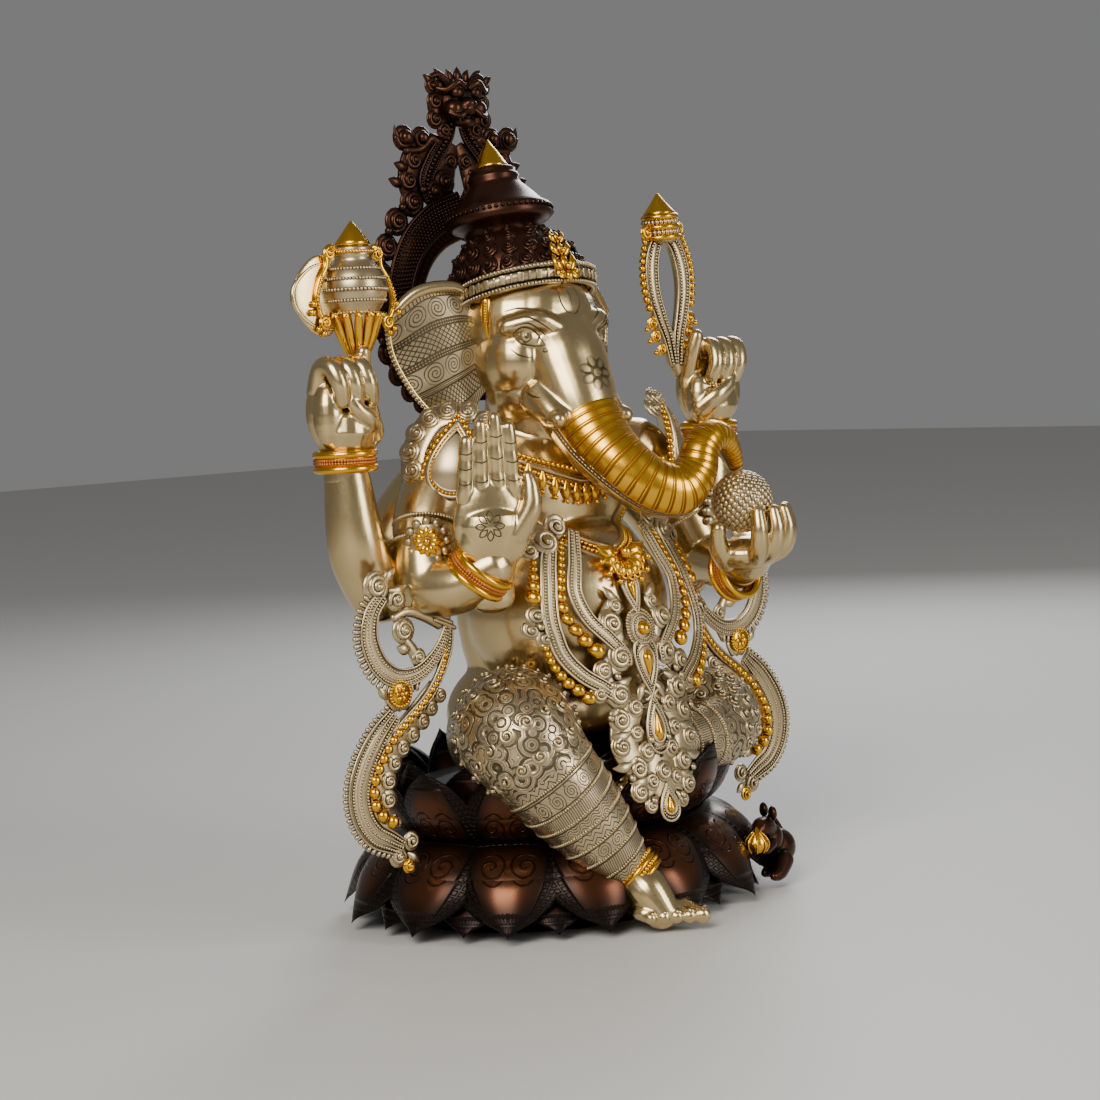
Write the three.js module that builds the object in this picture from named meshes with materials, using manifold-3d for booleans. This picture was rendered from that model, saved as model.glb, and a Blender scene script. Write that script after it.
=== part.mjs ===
// A seated brass Ganesha on a double lotus, built as the castings and fittings it is assembled from.
// Millimetres, +Z up. The figure faces -Y, so its own right hand is on the -X side.
import * as THREE from "three";
import { mergeVertices } from "three/addons/utils/BufferGeometryUtils.js";
import Module from "manifold-3d";

const wasm = await Module();
wasm.setup();

// ---------------------------------------------------------------- driving dimensions
const GAP = 0.35; // brazed and bolted faces stand this far apart
const WALL = 5; // thickness of the hollow castings

const BASE_X = 149; // lower lotus, half width
const BASE_Y = 127; // lower lotus, half depth
const PLINTH_H = 56; // lower lotus, height
const PETALS = 14; // petals in each tier
const SEAT_X = 132; // upper lotus, half width
const SEAT_Y = 98; // upper lotus, half depth
const SEAT_H = 56; // upper lotus, height at the petal tips
const DECK_DROP = 30; // the deck that the figure sits on lies this far below the petal tips

const BELLY_R = [66, 61, 61];
const BELLY_UP = 103; // belly centre above the deck
const BELLY_FORWARD = 19;
const CHEST_R = [62, 42, 50];
const CHEST_UP = 180; // chest centre above the deck
const NECK_R = 32;
const HEAD_UP = 284; // head centre above the deck
const SKULL_R = [45, 41, 42];
const CROWN_LEAN = 10; // degrees that the crown tips back
const CROWN_R = 45;
const CAP_R = 33;
const CAP_H = 30;
const FINIAL_R = 10.5;
const FINIAL_H = 19;

const SHOULDER_X = 78;
const SHOULDER_UP = 201;
const BACK_REACH = 150; // upper hands, sideways from the centre
const BACK_WRIST_UP = 206;
const WRIST_R = 14;
const BANGLE_R = 3.2;
const BALL_R = 20;

const AUREOLE_Y = 65; // mid plane of the halo plate
const AUREOLE_T = 8;
const AUREOLE_R = 69; // outer half width
const AUREOLE_BORE = 31; // half width of its opening
const AUREOLE_UP = 326; // centre of the halo above the deck
const CREST_W = 54;

const APRON_TOP_UP = 150;
const APRON_DROP = 176;
const APRON_HALF = 60;
const APRON_Y = -104; // the apron's depth at the middle
const APRON_WRAP = 16; // how far back its sides curve
const SCARF_X = 142;
const SCARF_Y = -30;
const MOUSE_X = 110;

const PLINTH_TOP = PLINTH_H;
const SEAT_TOP = PLINTH_TOP + SEAT_H;
const DECK = SEAT_TOP - DECK_DROP;
const BOLT_R = 4;

// ---------------------------------------------------------------- finishes
const metal = (color, roughness) => new THREE.MeshStandardMaterial({ color, roughness, metalness: 1 });
const SATIN = metal(0xc9b27c, 0.32); // scratch-brushed pale brass
const ANTIQUE = metal(0x9c8a62, 0.45); // chased brass with dark in its lines
const GILT = metal(0xd9991c, 0.3); // gold lacquer
const BRONZE = metal(0x3a1c10, 0.35); // dark brown patina
const STEEL = metal(0x8a8c90, 0.4);

// ---------------------------------------------------------------- solids from three.js geometry
function solidOf(geometry) {
  const open = geometry.index ? geometry.toNonIndexed() : geometry.clone();
  const bare = new THREE.BufferGeometry().setAttribute("position", open.getAttribute("position"));
  const merged = mergeVertices(bare, 1e-3);
  const all = merged.index.array;
  const tris = [];
  for (let i = 0; i < all.length; i += 3) {
    const [a, b, c] = [all[i], all[i + 1], all[i + 2]];
    if (a !== b && b !== c && c !== a) tris.push(a, b, c);
  }
  const make = (triVerts) =>
    new wasm.Manifold(
      new wasm.Mesh({ numProp: 3, vertProperties: merged.attributes.position.array, triVerts }),
    );
  const made = make(new Uint32Array(tris));
  if (made.volume() > 0) return made;
  const turned = tris.slice();
  for (let i = 0; i < turned.length; i += 3) {
    [turned[i + 1], turned[i + 2]] = [turned[i + 2], turned[i + 1]];
  }
  return make(new Uint32Array(turned));
}

// Each maker below returns a function of `grow`: the same solid, fatter by that much on every side.
// A neighbour is cut with the fatter one, so that the two never touch.
const degrees = THREE.MathUtils.degToRad;

function place(geometry, at, turn = [0, 0, 0]) {
  geometry.rotateX(degrees(turn[0]));
  geometry.rotateY(degrees(turn[1]));
  geometry.rotateZ(degrees(turn[2]));
  return geometry.translate(...at);
}

const ball = (at, r, turn = [0, 0, 0], fine = 10) => (grow) => {
  const radii = (Array.isArray(r) ? r : [r, r, r]).map((v) => v + grow);
  const g = new THREE.SphereGeometry(1, fine, Math.round(fine * 0.625));
  g.rotateX(Math.PI / 2).scale(...radii);
  return solidOf(place(g, at, turn));
};

const box = (at, size, turn = [0, 0, 0]) => (grow) =>
  solidOf(place(new THREE.BoxGeometry(...size.map((v) => v + 2 * grow)), at, turn));

const rod = (at, r, h, turn = [0, 0, 0], sides = 16, top = r) => (grow) => {
  const upright = new THREE.CylinderGeometry(top + grow, r + grow, h + 2 * grow, sides);
  return solidOf(place(upright.rotateX(Math.PI / 2), at, turn));
};

const ring = (at, r, tube, turn = [0, 0, 0], stretch = [1, 1, 1]) => (grow) =>
  solidOf(place(new THREE.TorusGeometry(r, tube + grow, 5, 16).scale(...stretch), at, turn));

// Moves each [radius, height] point outwards by `grow`. The profile runs anticlockwise round its section.
function fatten(profile, grow, closed) {
  const count = profile.length;
  const edgeNormal = (i) => {
    const [r0, z0] = profile[(i + count) % count];
    const [r1, z1] = profile[(i + 1) % count];
    return new THREE.Vector2(z1 - z0, r0 - r1).normalize();
  };
  return profile.map(([r, z], i) => {
    const before = edgeNormal(closed || i > 0 ? i - 1 : i);
    const after = closed || i < count - 1 ? edgeNormal(i) : before;
    const mitre = grow / Math.max(0.4, 1 + before.dot(after));
    const push = before.clone().add(after).multiplyScalar(mitre);
    return new THREE.Vector2(r > 0 ? r + push.x : 0, z + push.y);
  });
}

// A turned piece: profile is a list of [radius, height] that starts and ends on the axis.
const turned = (at, profile, turn = [0, 0, 0], sides = 12) => (grow) => {
  const fat = fatten(profile, grow, false);
  return solidOf(place(new THREE.LatheGeometry(fat, sides).rotateX(Math.PI / 2), at, turn));
};

// A round limb through stations [x, y, z, radius]; `flat` squashes its section.
const limb = (stations, { sides = 8, steps = 7, flat = 1 } = {}) => (grow) => {
  const path = new THREE.CatmullRomCurve3(stations.map((s) => new THREE.Vector3(...s)));
  const widths = new THREE.CatmullRomCurve3(stations.map((s) => new THREE.Vector3(s[3], 0, 0)));
  const frames = path.computeFrenetFrames(steps, false);
  const rings = [];
  for (let i = 0; i <= steps; i++) {
    const t = i / steps;
    rings.push({ at: path.getPointAt(t), r: widths.getPoint(path.getUtoTmapping(t)).x + grow, i });
  }
  const cap = (end, sign) =>
    [0.5, 0.85].map((a) => ({
      at: end.at.clone().addScaledVector(frames.tangents[end.i], sign * end.r * Math.sin(a * 1.57)),
      r: end.r * Math.cos(a * 1.57),
      i: end.i,
    }));
  const first = rings[0];
  const last = rings[steps];
  const all = [...cap(first, -1).reverse(), ...rings, ...cap(last, 1)];
  const profile = all.map((s, k) => new THREE.Vector2(s.r, k));
  profile.unshift(new THREE.Vector2(0, 0));
  profile.push(new THREE.Vector2(0, all.length - 1));
  const g = new THREE.LatheGeometry(profile, sides);
  const p = g.getAttribute("position");
  for (let v = 0; v < p.count; v++) {
    const s = all[Math.round(p.getY(v))];
    const point = s.at
      .clone()
      .addScaledVector(frames.normals[s.i], p.getX(v))
      .addScaledVector(frames.binormals[s.i], p.getZ(v) * flat);
    p.setXYZ(v, point.x, point.y, point.z);
  }
  return solidOf(g);
};

// A flat plate cut to a closed outline of [x, z] points in a plane that faces -Y, with optional windows.
const plate = (at, outline, thick, options = {}) => (grow) => {
  const { windows = [], turn = [0, 0, 0], smooth = true, steps = 20 } = options;
  const curve = (points) => {
    const flat = points.map(([x, z]) => new THREE.Vector2(x, z));
    if (!smooth) return flat;
    const closed = new THREE.CatmullRomCurve3(flat.map((q) => new THREE.Vector3(q.x, q.y, 0)), true);
    return closed.getPoints(steps).slice(0, -1).map((q) => new THREE.Vector2(q.x, q.y));
  };
  const swell = (points, by) => {
    const c = points.reduce((s, q) => s.add(q), new THREE.Vector2()).divideScalar(points.length);
    return points.map((q) => q.clone().add(q.clone().sub(c).setLength(by)));
  };
  const shape = new THREE.Shape(swell(curve(outline), grow));
  windows.forEach((w) => shape.holes.push(new THREE.Path(swell(curve(w), -grow))));
  const g = new THREE.ExtrudeGeometry(shape, { depth: thick + 2 * grow, bevelEnabled: false });
  g.translate(0, 0, -thick / 2 - grow).rotateX(Math.PI / 2);
  return solidOf(place(g, at, turn));
};

// A petalled shell round an oval: profile rows are [share of radius, z, rise at a petal's middle], and
// a row that gives a rise is drawn in between its petals by `dip`.
const lotusShell = (halfX, halfY, profile, dip) => (grow) => {
  const fat = fatten(profile.map(([share, z]) => [share * halfY, z]), grow, true);
  const points = profile.map(([share], k) => new THREE.Vector2(share, k));
  points.push(points[0].clone().setY(profile.length));
  const g = new THREE.LatheGeometry(points, PETALS * 2);
  const p = g.getAttribute("position");
  for (let v = 0; v < p.count; v++) {
    const row = Math.round(p.getY(v)) % profile.length;
    const [share, , rise] = profile[row];
    const angle = Math.atan2(p.getX(v), p.getZ(v));
    const petal = Math.abs(Math.cos((angle * PETALS) / 2));
    const drawn = rise === undefined ? 1 : 1 - dip * (1 - petal);
    const out = fat[row].x - share * halfY;
    const x = Math.sin(angle) * (share * drawn * halfX + out);
    const y = -Math.cos(angle) * (share * drawn * halfY + out);
    p.setXYZ(v, x, y, fat[row].y + (rise || 0) * petal);
  }
  return solidOf(g);
};

// Corners are rounded to a hundredth, which closes the slivers that a cut leaves.
function geometryOf(solid) {
  const mesh = solid.getMesh();
  const g = new THREE.BufferGeometry();
  const rounded = mesh.vertProperties.map((v) => Math.round(v * 100) / 100);
  g.setAttribute("position", new THREE.BufferAttribute(rounded, 3));
  g.setIndex(new THREE.BufferAttribute(mesh.triVerts, 1));
  return g;
}

// ---------------------------------------------------------------- assembling pieces
const union = (makers, grow) => makers.map((m) => m(grow)).reduce((a, b) => a.add(b));
const biggest = (s) => s.decompose().sort((a, b) => b.volume() - a.volume())[0];
const mirrored = (makers) =>
  makers.map((m) => (grow) => {
    const mesh = m(grow).getMesh();
    const v = mesh.vertProperties.slice();
    for (let i = 0; i < v.length; i += mesh.numProp) v[i] = -v[i];
    const t = mesh.triVerts.slice();
    for (let i = 0; i < t.length; i += 3) [t[i], t[i + 1]] = [t[i + 1], t[i]];
    return new wasm.Manifold(new wasm.Mesh({ numProp: mesh.numProp, vertProperties: v, triVerts: t }));
  });

const figure = new THREE.Group();
const placed = [];

// Adds one named casting: the union of its makers, less its own hollows, trimmed to clear every
// earlier piece.
function piece(name, finish, makers, hollows = []) {
  let s = union(makers, 0);
  hollows.forEach((h) => (s = s.subtract(h(0))));
  const b = s.boundingBox();
  for (const other of placed) {
    const near = [0, 1, 2].every((k) => b.min[k] < other.box.max[k] && other.box.min[k] < b.max[k]);
    if (near) s = s.subtract(other.cutter);
  }
  do s = biggest(solidOf(geometryOf(s)));
  while (solidOf(geometryOf(s)).decompose().length > 1);
  const cutter = union(makers, GAP).add(s);
  placed.push({ cutter, box: cutter.boundingBox() });
  const part = new THREE.Mesh(geometryOf(s), finish);
  part.name = name;
  figure.add(part);
}

// The same casting on both sides of the figure: makers are written for its right side (-X).
function pair(name, finish, makers) {
  piece("right_" + name, finish, makers);
  piece("left_" + name, finish, mirrored(makers));
}

// ---------------------------------------------------------------- the double lotus
const plinthRows = [
  [0.6, 0],
  [0.94, 0, 0],
  [1.0, 3, 0],
  [0.97, 14, 0],
  [0.9, 34, 0],
  [0.8, PLINTH_H - 2, 0],
  [0.69, PLINTH_H],
  [0.6, PLINTH_H],
  [0.6, PLINTH_H - WALL],
  [0.66, PLINTH_H - WALL],
  [0.76, 30],
  [0.76, WALL],
  [0.6, WALL],
];
piece("lotus_plinth", BRONZE, [lotusShell(BASE_X, BASE_Y, plinthRows, 0.1)]);

const cupBottom = PLINTH_TOP + GAP;
const seatRows = [
  [0.1, DECK - WALL],
  [0.72, DECK - WALL],
  [0.7, cupBottom],
  [0.8, cupBottom, 0],
  [0.93, PLINTH_TOP + 12, 0],
  [1.0, PLINTH_TOP + 25, 3],
  [1.0, DECK + 7, DECK_DROP - 8],
  [0.94, DECK + 6, DECK_DROP - 8],
  [0.8, DECK + 1],
  [0.78, DECK],
  [0.1, DECK],
];
piece("lotus_seat", BRONZE, [lotusShell(SEAT_X, SEAT_Y, seatRows, 0.09)]);

// ---------------------------------------------------------------- body
const belly = ball([0, -BELLY_FORWARD, DECK + BELLY_UP], BELLY_R, [0, 0, 0], 16);
const chest = ball([0, 2, DECK + CHEST_UP], CHEST_R, [0, 0, 0], 12);
const hips = ball([0, 6, DECK + 40], [72, 52, 46], [0, 0, 0], 12);
const neck = rod([0, 0, DECK + 222], NECK_R, 32);
const belowDeck = box([0, 0, DECK - 50 + GAP], [400, 400, 100]);
const bodyHollow = turned([0, -8, DECK - 1], [
  [0, 0],
  [38, 0],
  [44, 50],
  [48, 100],
  [34, 150],
  [30, 190],
  [16, 225],
  [0, 225],
], [0, 0, 0], 8);
piece(
  "torso",
  SATIN,
  [belly, chest, hips, neck],
  [bodyHollow, belowDeck],
);

const headAt = [0, -2, DECK + HEAD_UP];
const skull = ball(headAt, SKULL_R, [0, 0, 0], 14);
const face = ball([0, -22, headAt[2] - 30], [37, 34, 34], [-20, 0, 0], 10);
const jaw = ball([0, -8, headAt[2] - 46], [38, 32, 26], [0, 0, 0], 8);
piece("head", SATIN, [skull, face, jaw], [rod([0, -2, headAt[2] - 38], 20, 76)]);

const trunkPath = [
  [0, -36, DECK + 244, 27],
  [1, -50, DECK + 222, 22],
  [4, -64, DECK + 200, 18.5],
  [16, -77, DECK + 185, 17],
  [32, -85, DECK + 182, 15.5],
  [45, -90, DECK + 193, 13],
  [54, -93, DECK + 206, 11],
  [68, -95, DECK + 208, 9.5],
  [77, -96, DECK + 198, 7.5],
  [81, -96, DECK + 190, 6],
];
piece("trunk", GILT, [limb(trunkPath, { sides: 8, steps: 12 })]);

pair("tusk", SATIN, [
  limb([
    [-24, -38, DECK + 230, 8],
    [-26, -50, DECK + 226, 7],
    [-27, -58, DECK + 224, 5.5],
  ], { sides: 6, steps: 2 }),
]);

// ---------------------------------------------------------------- crown
const bandAt = [0, 1, headAt[2] + 21];
const bandTilt = [-14, 0, 0];
piece("crown_band", ANTIQUE, [ring(bandAt, CROWN_R + 1, 4.5, bandTilt, [1, 0.92, 1])]);
piece("crown_dome", BRONZE, [
  ball([0, 6, bandAt[2] + 8], [CROWN_R - 1, CROWN_R - 2, 40], [CROWN_LEAN, 0, 0], 12),
]);
const capAt = [0, 24, bandAt[2] + 42];
piece("crown_cap", BRONZE, [
  turned(capAt, [
    [0, 0],
    [CAP_R - 9, 0],
    [CAP_R - 6, 4],
    [CAP_R, 9],
    [CAP_R - 3, 14],
    [FINIAL_R + 5, 23],
    [FINIAL_R + 1, CAP_H],
    [0, CAP_H],
  ], [-CROWN_LEAN, 0, 0]),
]);
const lean = new THREE.Vector3(0, Math.sin(degrees(CROWN_LEAN)), Math.cos(degrees(CROWN_LEAN)));
const capTop = new THREE.Vector3(...capAt).addScaledVector(lean, CAP_H + GAP);
piece("crown_finial", GILT, [
  turned(capTop.toArray(), [
    [0, 0],
    [FINIAL_R, 0],
    [FINIAL_R - 0.5, 3],
    [0.6, FINIAL_H],
    [0, FINIAL_H],
  ], [-CROWN_LEAN, 0, 0]),
]);
piece("forehead_jewel", GILT, [ball([0, -42, bandAt[2] + 8], [9, 7, 14], [-10, 0, 0], 8)]);

// ---------------------------------------------------------------- ears
const earOutline = [
  [-2, 12],
  [26, 14],
  [54, 4],
  [62, -8],
  [50, -32],
  [26, -64],
  [16, -60],
  [2, -40],
  [-3, -12],
];
const earAt = (side) => [side * 44, 2, headAt[2] + 6];
piece("right_ear", ANTIQUE, [
  plate(earAt(-1), earOutline.map(([x, z]) => [-x, z]), 6, { turn: [0, 0, 12] }),
]);
piece("left_ear", ANTIQUE, [plate(earAt(1), earOutline, 6, { turn: [0, 0, -12] })]);
pair("ear_drop", GILT, [box([-47, -9, headAt[2] - 20], [7, 5, 34], [0, 0, -20])]);

// ---------------------------------------------------------------- arms, hands and bangles
const shoulderZ = DECK + SHOULDER_UP;
const backWristZ = DECK + BACK_WRIST_UP;
const backElbow = [-BACK_REACH + 22, 5, shoulderZ - 72, 17.5];
pair("back_arm", SATIN, [
  limb([
    [-SHOULDER_X + 12, 14, shoulderZ - 2, 22],
    [-SHOULDER_X - 26, 13, shoulderZ - 38, 20],
    backElbow,
  ], { steps: 4 }),
  limb([
    backElbow,
    [-BACK_REACH + 4, 0, shoulderZ - 44, 17],
    [-BACK_REACH, 0, backWristZ - 6, WRIST_R],
  ], { steps: 4 }),
]);
pair("back_bangle", GILT, [ring([-BACK_REACH, 0, backWristZ + 2], WRIST_R + 2, BANGLE_R)]);
pair("back_hand", SATIN, [
  rod([-BACK_REACH, 0, backWristZ + 8], WRIST_R - 1, 14),
  ball([-BACK_REACH, 0, backWristZ + 36], [25, 17, 28], [0, 0, 0], 8),
  ball([-BACK_REACH - 6, -12, backWristZ + 50], [16, 9, 12], [0, 25, 0], 6),
]);

const frontArm = (shoulder, elbow, wrist) => [
  limb([
    [...shoulder, 25],
    [(shoulder[0] + elbow[0]) / 2 + Math.sign(elbow[0]) * 6, -14, (shoulder[2] + elbow[2]) / 2, 21],
    [...elbow, 18],
  ], { steps: 4 }),
  limb([
    [...elbow, 18],
    [...wrist, WRIST_R],
  ], { steps: 2 }),
];
const rightWrist = [-91, -54, DECK + 135];
const leftWrist = [98, -74, DECK + 124];
const elbowZ = shoulderZ - 70;
const rightElbow = [-SHOULDER_X - 28, -26, elbowZ];
const leftElbow = [SHOULDER_X + 32, -28, elbowZ - 4];
piece("right_front_arm", SATIN, frontArm([-SHOULDER_X, -6, shoulderZ], rightElbow, rightWrist));
piece("left_front_arm", SATIN, frontArm([SHOULDER_X, -6, shoulderZ], leftElbow, leftWrist));
piece("right_front_bangle", GILT, [
  ring([rightWrist[0] + 1, rightWrist[1] - 4, rightWrist[2] + 6], WRIST_R + 2.5, BANGLE_R, [28, 14, 0]),
]);
piece("left_front_bangle", GILT, [ring([99, -68, DECK + 123], WRIST_R + 3, BANGLE_R, [72, 0, 12])]);
const palmTurn = [0, 0, -28];
piece("right_front_hand", SATIN, [
  rod([rightWrist[0] + 2, rightWrist[1] - 8, rightWrist[2] + 11], WRIST_R - 2, 16),
  ball([-87, -66, DECK + 164], [23, 9, 26], palmTurn, 10),
  ball([-67, -74, DECK + 172], [7, 7, 22], [0, 14, 0], 10),
  ...[0, 1, 2, 3].map((k) =>
    limb([
      [-102 + 9.5 * k, -60 - 4.6 * k, DECK + 178, 5.2],
      [-103 + 8.6 * k, -60 - 4.4 * k, DECK + 224 - 4 * Math.abs(k - 1.8), 3.8],
    ], { sides: 5, steps: 1 }),
  ),
]);
const sweetAt = [84, -96, DECK + 168];
piece("sweet_ball", ANTIQUE, [ball(sweetAt, BALL_R, [0, 0, 0], 12)]);
piece("left_front_hand", SATIN, [
  ball([94, -92, DECK + 134], [21, 20, 12], [0, -20, 0], 10),
  ...[0, 1, 2, 3].map((k) =>
    limb([
      [90 + 7 * k, -108 + 5 * k, DECK + 138, 6],
      [96 + 6.5 * k, -119 + 7 * k, DECK + 148, 5.5],
      [96 + 6 * k, -119 + 7 * k, DECK + 162, 4.5],
    ], { sides: 6, steps: 2 }),
  ),
  limb([
    [76, -88, DECK + 138, 6],
    [66, -90, DECK + 156, 4.5],
  ], { sides: 6, steps: 2 }),
]);

// ---------------------------------------------------------------- what the upper hands hold
const fistTop = backWristZ + 64;
piece("axe_socket", ANTIQUE, [
  turned([-BACK_REACH + 5, 1, fistTop - 4], [
    [0, 0],
    [6, 0],
    [6, 12],
    [13, 22],
    [19, 27],
    [20, 42],
    [14, 48],
    [15, 51],
    [10, 56],
    [10, 62],
    [0, 62],
  ], [-4, 6, 0], 16),
]);
piece("axe_finial", GILT, [
  turned([-BACK_REACH + 11.8, 5.6, fistTop + 58.6], [
    [0, 0],
    [9, 0],
    [8.5, 2],
    [0.5, 15],
    [0, 15],
  ], [-4, 6, 0], 16),
]);
piece("axe_blade", SATIN, [
  plate([-BACK_REACH - 15, 3, fistTop + 32], [
    [10, 19],
    [-6, 16],
    [-15, 0],
    [-6, -18],
    [10, -20],
    [4, 0],
  ], 5),
]);
const noosePoints = [
  [0, -46],
  [12, -24],
  [22, 2],
  [20, 28],
  [8, 44],
  [-8, 44],
  [-20, 28],
  [-22, 2],
  [-12, -24],
];
const nooseWindow = [
  [0, -14],
  [5, 6],
  [4, 24],
  [0, 29],
  [-4, 24],
  [-5, 6],
];
const nooseAt = [BACK_REACH - 25, 3, fistTop + 34];
piece("noose_loop", ANTIQUE, [
  plate(nooseAt, noosePoints, 11, { windows: [nooseWindow], turn: [0, -8, 0] }),
  rod([BACK_REACH - 13, 2, fistTop - 8], 6, 22, [0, -30, 0], 10),
]);
piece("noose_finial", GILT, [
  turned([nooseAt[0] - 6.4, 3, nooseAt[2] + 45.2], [
    [0, 0], [10, 0], [10, 8], [8, 9], [0.5, 22], [0, 22],
  ], [0, -8, 0], 16),
]);

// ---------------------------------------------------------------- halo plate and its fixings
const haloZ = DECK + AUREOLE_UP;
const w = AUREOLE_R;
const haloOutline = [
  [0, 116],
  [-0.42 * w, 94],
  [-0.6 * w, 66],
  [-0.95 * w, 40],
  [-w, 4],
  [-0.86 * w, -44],
  [-0.55 * w, -96],
  [-0.34 * w, -92],
  [-0.36 * w, -60],
  [0.36 * w, -60],
  [0.34 * w, -92],
  [0.55 * w, -96],
  [0.86 * w, -44],
  [w, 4],
  [0.95 * w, 40],
  [0.6 * w, 66],
  [0.42 * w, 94],
];
const q = AUREOLE_BORE;
const haloWindow = [
  [0, 44],
  [-0.8 * q, 30],
  [-q, 0],
  [-0.8 * q, -32],
  [0, -44],
  [0.8 * q, -32],
  [q, 0],
  [0.8 * q, 30],
];
piece("halo_plate", BRONZE, [
  plate([0, AUREOLE_Y, haloZ], haloOutline, AUREOLE_T, { windows: [haloWindow], steps: 34 }),
]);
piece("lion_crest", BRONZE, [
  ball([0, AUREOLE_Y - 8, haloZ + 110], [CREST_W / 2, 11, 17], [0, 0, 0], 14),
  ball([0, AUREOLE_Y - 8, haloZ + 118], [8, 8, 10], [0, 0, 0], 10),
]);
const haloBack = AUREOLE_Y - AUREOLE_T / 2;
piece("halo_bracket", BRONZE, [box([0, (30 + haloBack) / 2 - GAP, haloZ - 76], [46, haloBack - 30, 22])]);
pair("halo_screw", STEEL, [
  rod([-14, haloBack + AUREOLE_T + GAP + 2.5, haloZ - 76], 5, 5, [90, 0, 0], 6),
]);

// ---------------------------------------------------------------- legs and feet
const rightKnee = [-82, -66, DECK + 44];
const leftKnee = [100, -48, DECK + 30];
piece("right_leg", ANTIQUE, [
  limb([
    [-44, -18, DECK + 37, 30],
    [-66, -46, DECK + 44, 33],
    [...rightKnee, 32],
  ], { steps: 4 }),
  limb([
    [...rightKnee, 32],
    [-68, -84, DECK + 12, 27],
    [-50, -95, DECK - 20, 23],
    [-36, -104, DECK - 42, 16],
  ], { steps: 4 }),
]);
piece("right_anklet", GILT, [ring([-27, -110, DECK - 52], 15, 3.4, [38, 30, 0])]);
const toe = (k) =>
  ball([-24 + 9 * k, -138 + 2.6 * k, DECK - 70 + 1.2 * k], [6.5 - 0.4 * k, 8, 5], [0, 0, 15], 6);
piece("right_foot", SATIN, [
  limb([
    [-34, -103, DECK - 46, 14],
    [-22, -116, DECK - 58, 15],
    [-10, -127, DECK - 66, 12],
  ], { sides: 8, steps: 3 }),
  ...[0, 1, 2, 3, 4].map(toe),
]);
piece("left_leg", ANTIQUE, [
  limb([
    [46, -18, DECK + 32, 27],
    [82, -36, DECK + 33, 28],
    [...leftKnee, 25],
  ], { steps: 4 }),
  limb([
    [...leftKnee, 25],
    [74, -66, DECK + 24, 22],
    [34, -74, DECK + 20, 18],
  ], { steps: 4 }),
]);
piece("left_foot", SATIN, [
  limb([
    [24, -78, DECK + 16, 13],
    [6, -82, DECK + 14, 12],
    [-14, -84, DECK + 12, 9],
  ], { sides: 8, steps: 3 }),
]);

// ---------------------------------------------------------------- jewellery on the body
const torsoFront = (z) => {
  const rise = (z - BELLY_UP) / BELLY_R[2];
  return -BELLY_FORWARD - BELLY_R[1] * Math.sqrt(Math.max(0, 1 - rise ** 2));
};
piece("collar", GILT, [
  limb([
    [-50, -16, DECK + 212, 5.5],
    [-28, -36, DECK + 200, 5.5],
    [0, -43, DECK + 194, 5.5],
    [28, -36, DECK + 200, 5.5],
    [50, -16, DECK + 212, 5.5],
  ], { sides: 8, steps: 8 }),
]);
piece("breast_band", GILT, [
  limb([
    [-58, -24, DECK + 200, 5],
    [-40, -46, DECK + 178, 5],
    [-20, torsoFront(140) + 4, DECK + 150, 5.5],
    [0, torsoFront(128) - 2, DECK + 134, 7],
    [20, torsoFront(140) + 4, DECK + 150, 5.5],
    [40, -46, DECK + 178, 5],
    [58, -24, DECK + 200, 5],
  ], { sides: 6, steps: 8 }),
  ball([0, torsoFront(124) - 1, DECK + 126], [19, 8, 15], [0, 0, 0], 8),
]);
pair("shoulder_plate", ANTIQUE, [
  ball([-SHOULDER_X - 6, -16, shoulderZ + 6], [25, 16, 30], [0, 14, -30], 14),
]);
pair("armlet", ANTIQUE, [ball([-SHOULDER_X - 34, -28, shoulderZ - 46], [14, 7, 15], [0, 0, -50], 12)]);

// ---------------------------------------------------------------- pierced apron in front of the lap
const apronTop = DECK + APRON_TOP_UP;
const apronY = (x) => APRON_Y + APRON_WRAP * (x / APRON_HALF) ** 2;
const strand = (points, r) =>
  limb(points.map(([across, drop, y]) => {
    const x = across * APRON_HALF;
    return [x, y ?? apronY(x), apronTop - drop, r];
  }), { sides: 6, steps: 8 });
pair("apron_strand", ANTIQUE, [
  strand([
    [-0.78, -4, -64],
    [-0.97, 26, -78],
    [-1.04, 52],
    [-0.86, 84],
    [-0.56, 108],
    [-0.2, 130, -106],
  ], 6.5),
  strand([
    [-0.66, 4, -68],
    [-0.66, 36, -86],
    [-0.48, 62],
    [-0.22, 84],
    [-0.14, 100],
  ], 5.5),
]);
piece("apron_pendant", ANTIQUE, [
  ball([0, apronY(0) - 1, apronTop - 48], [9, 6, 20], [0, 0, 0], 6),
  ball([0, apronY(0) - 2, apronTop - 68], [12, 6, 18], [0, 0, 0], 6),
  ball([0, apronY(0) - 3, apronTop - 96], [11, 6, 20], [0, 0, 0], 6),
  ball([0, apronY(0) - 5, apronTop - 128], [22, 6, 20], [0, 0, 0], 6),
  ball([0, apronY(0) - 6, apronTop - APRON_DROP + 16], [11, 6, 18], [0, 0, 0], 6),
]);

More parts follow.
